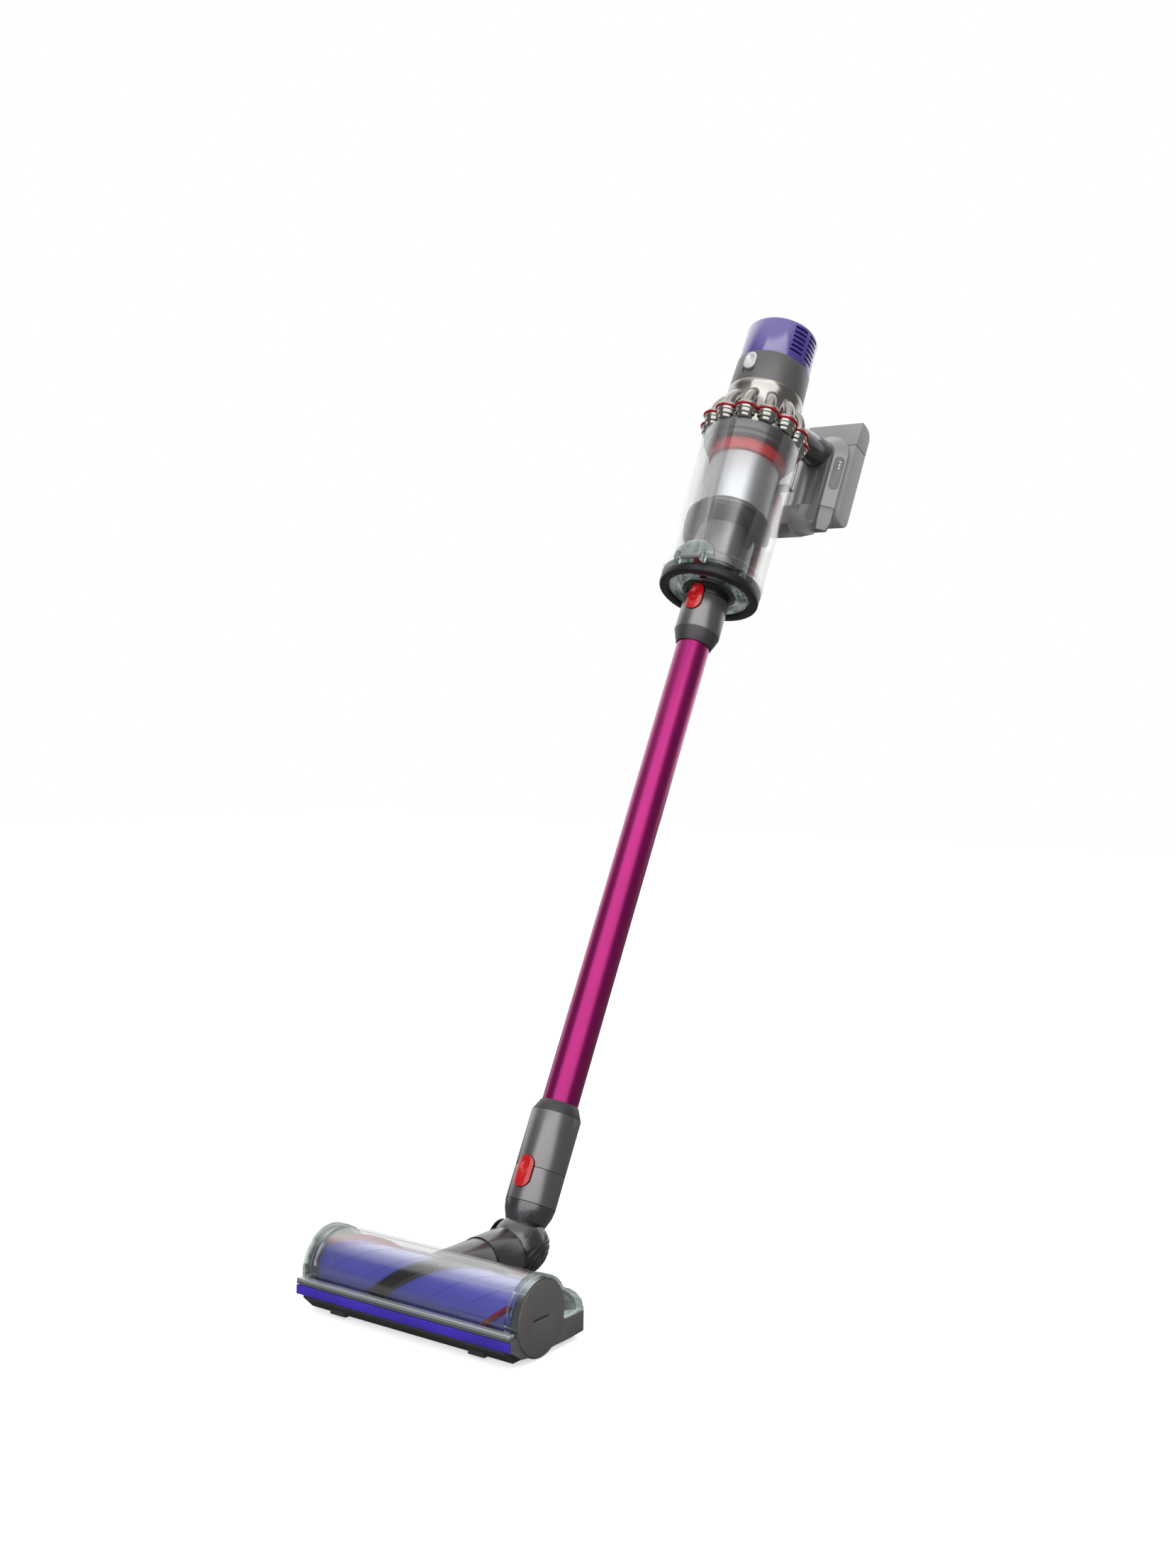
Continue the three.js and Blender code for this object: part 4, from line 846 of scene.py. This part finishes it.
rib_inner, rib_outer, rib_width = 27.2, 28.1, 1.3
ribs = bmesh.new()
for crossing in (-109, -66.6, 15.7, 55.5, -50.5, -19.5, 87.5, 97.5):
    ribs = add(ribs, strip(rib_inner, rib_outer, rib_width, crossing))
put("roller_ribs", ribs, roller_place, "brush_roller", violet)


def bristles(width, crossing, rows, copies, thick, seed, inner=27.4, outer=33.8, lean_out=0.14):
    """A strip of stiff filaments: a few jittered rows, repeated along the winding."""
    chance = Random(seed)
    bm = bmesh.new()
    for row in range(rows):
        across = (row + chance.random()) / rows - 0.5
        tip = outer - chance.random() * 0.8
        outward = Matrix.Rotation(pi / 2 + chance.uniform(-lean_out, lean_out), 4, "Y")
        tilt = outward @ Matrix.Rotation(chance.uniform(-lean_out, lean_out), 4, "X")
        place = Matrix.Translation(((inner + tip) / 2, chance.uniform(-0.5, 0.5), left_end + across * width))
        bmesh.ops.create_cone(bm, segments=3, radius1=thick, radius2=thick * 0.45, depth=tip - inner,
                              matrix=place @ tilt, cap_ends=True)
    return wound(bm, right_end - left_end, crossing, copies)


black_fibre = finish("black_filament", (0.012, 0.011, 0.011), 0.5)
red_fibre = finish("crimson_filament", (0.58, 0.012, 0.05), 0.6)
ridge_grey = finish("bristle_base", (0.035, 0.034, 0.036), 0.7, grain_size=0.0008, bump=0.5)
put("black_strip_base", strip(27.3, 28.4, 24, -35), roller_place, "brush_roller", ridge_grey)
put("black_filaments", bristles(15, -37, 34, 230, 0.3, 5), roller_place, "brush_roller", black_fibre,
    ["black_bristle"])
put("red_filaments", bristles(5.5, 92.5, 12, 300, 0.42, 9, outer=33.2), roller_place, "brush_roller",
    red_fibre, ["red_bristle"])
frame["nodes"]["brush_bearing"].data.materials[0] = silver
frame["nodes"]["brush_motor"].data.materials[0] = dark_gloss


# ---- Head housing, soleplate and front rail -----------------------------------------------------
# Matt grey mouldings. The rail across the front is clear plastic over a grey foot.
head_grey = finish("head_grey", (0.155, 0.15, 0.142), 0.5, grain_size=0.0004, bump=0.12)
under_grey = finish("soleplate_grey", (0.06, 0.06, 0.062), 0.5)
softened("head_housing", "housing", "cleaner_head", head_grey, 0.5, 35)
softened("soleplate", "sole", "cleaner_head", under_grey, 0.5, 35)
rail_clear = finish("rail_clear", (0.4, 0.43, 0.43), 0.14, metallic=0.35, coat=1.0, grain=0.03, coat_ior=1.7)
head_half, rail_back = 125.6, -38
rail = block(-head_half, head_half, -45.9, rail_back, 28.9, 32.8)
soften_edges(rail, 1.3, 40, 4)
put("front_rail", rail, head_place, "cleaner_head", rail_clear, ["front_bar"])
rail_foot = block(-125.4, 125.4, -45.5, rail_back, 27.5, 28.8)
put("rail_foot", rail_foot, head_place, "cleaner_head", head_grey)


# ---- Clear cover, rear window and end cap -------------------------------------------------------
# A thin clear shell curves over the roller between two thick stepped rings. A clear window closes
# the head behind it, and a cap with a coin slot closes its right end.


def shell_arc(points, start=31, end=188, steps=72):
    """A section in X and Z, turned about the roller from a rear bearing to a front one, as a closed shell."""
    bm = bmesh.new()
    corners = [bm.verts.new((-x, 0, z)) for x, z in points]
    edges = [bm.edges.new(pair) for pair in zip(corners, corners[1:] + corners[:1])]
    bmesh.ops.rotate(bm, verts=bm.verts, cent=(0, 0, 0), matrix=Matrix.Rotation(radians(start - 90), 3, "Z"))
    bmesh.ops.spin(bm, geom=corners + edges, cent=(0, 0, 0), axis=(0, 0, 1), dvec=(0, 0, 0),
                   angle=radians(end - start), steps=steps)
    bmesh.ops.holes_fill(bm, edges=[edge for edge in bm.edges if edge.is_boundary], sides=0)
    face_outward(bm)
    return bm


cover_bore, cover_radius, cover_half = 35.2, 37, 113
shell = shell_arc([(cover_bore, -cover_half), (cover_radius, -cover_half), (cover_radius, cover_half),
                   (cover_bore, cover_half)])
put("cover", shell, roller_place, "cleaner_head", clear, ["clear_cover"])
ring_steps = [(cover_bore, 113.1), (37.1, 113.1), (37.1, 116), (37.6, 116.6), (37.6, 119), (37.0, 119.5),
              (37.0, 122), (37.6, 122.6), (37.6, head_half), (cover_bore, head_half)]
for side, name in ((-1, "left"), (1, "right")):
    ring = shell_arc([(radius, side * z) for radius, z in ring_steps])
    put(f"cover_ring_{name}", ring, roller_place, "cleaner_head", clear_rim)
softened("rear_window", "rear_cover", "cleaner_head", clear_rim, 0.3, 35)
softened("end_cap", "coin_cap", "end_cap_body", head_grey, 0.4, 35)


# ---- Felt strips, wheels and pins ---------------------------------------------------------------
# Violet felt seals the front and rear edges to the floor. Four small black wheels carry the head,
# and turned steel pins carry the elbow.
felt = finish("violet_felt", (0.07, 0.035, 0.62), 0.85, grain=0.1, grain_size=0.0012, bump=0.9, cloud=0.2)
softened("front_felt", "felt_front", "cleaner_head", felt, 0.9)
softened("rear_felt", "felt_rear", "cleaner_head", felt, 0.4)
wheel_black = finish("wheel_black", (0.012, 0.012, 0.012), 0.5)
for seat in ("front_left", "front_right", "rear_left", "rear_right"):
    softened(f"wheel_{seat}", f"wheel_{seat}_tyre", f"wheel_{seat}_body", wheel_black)
steel = finish("turned_steel", (0.5, 0.5, 0.51), 0.3, metallic=1.0)
for node in ("fold_pin_left", "fold_pin_right"):
    frame["nodes"][node].data.materials[0] = steel
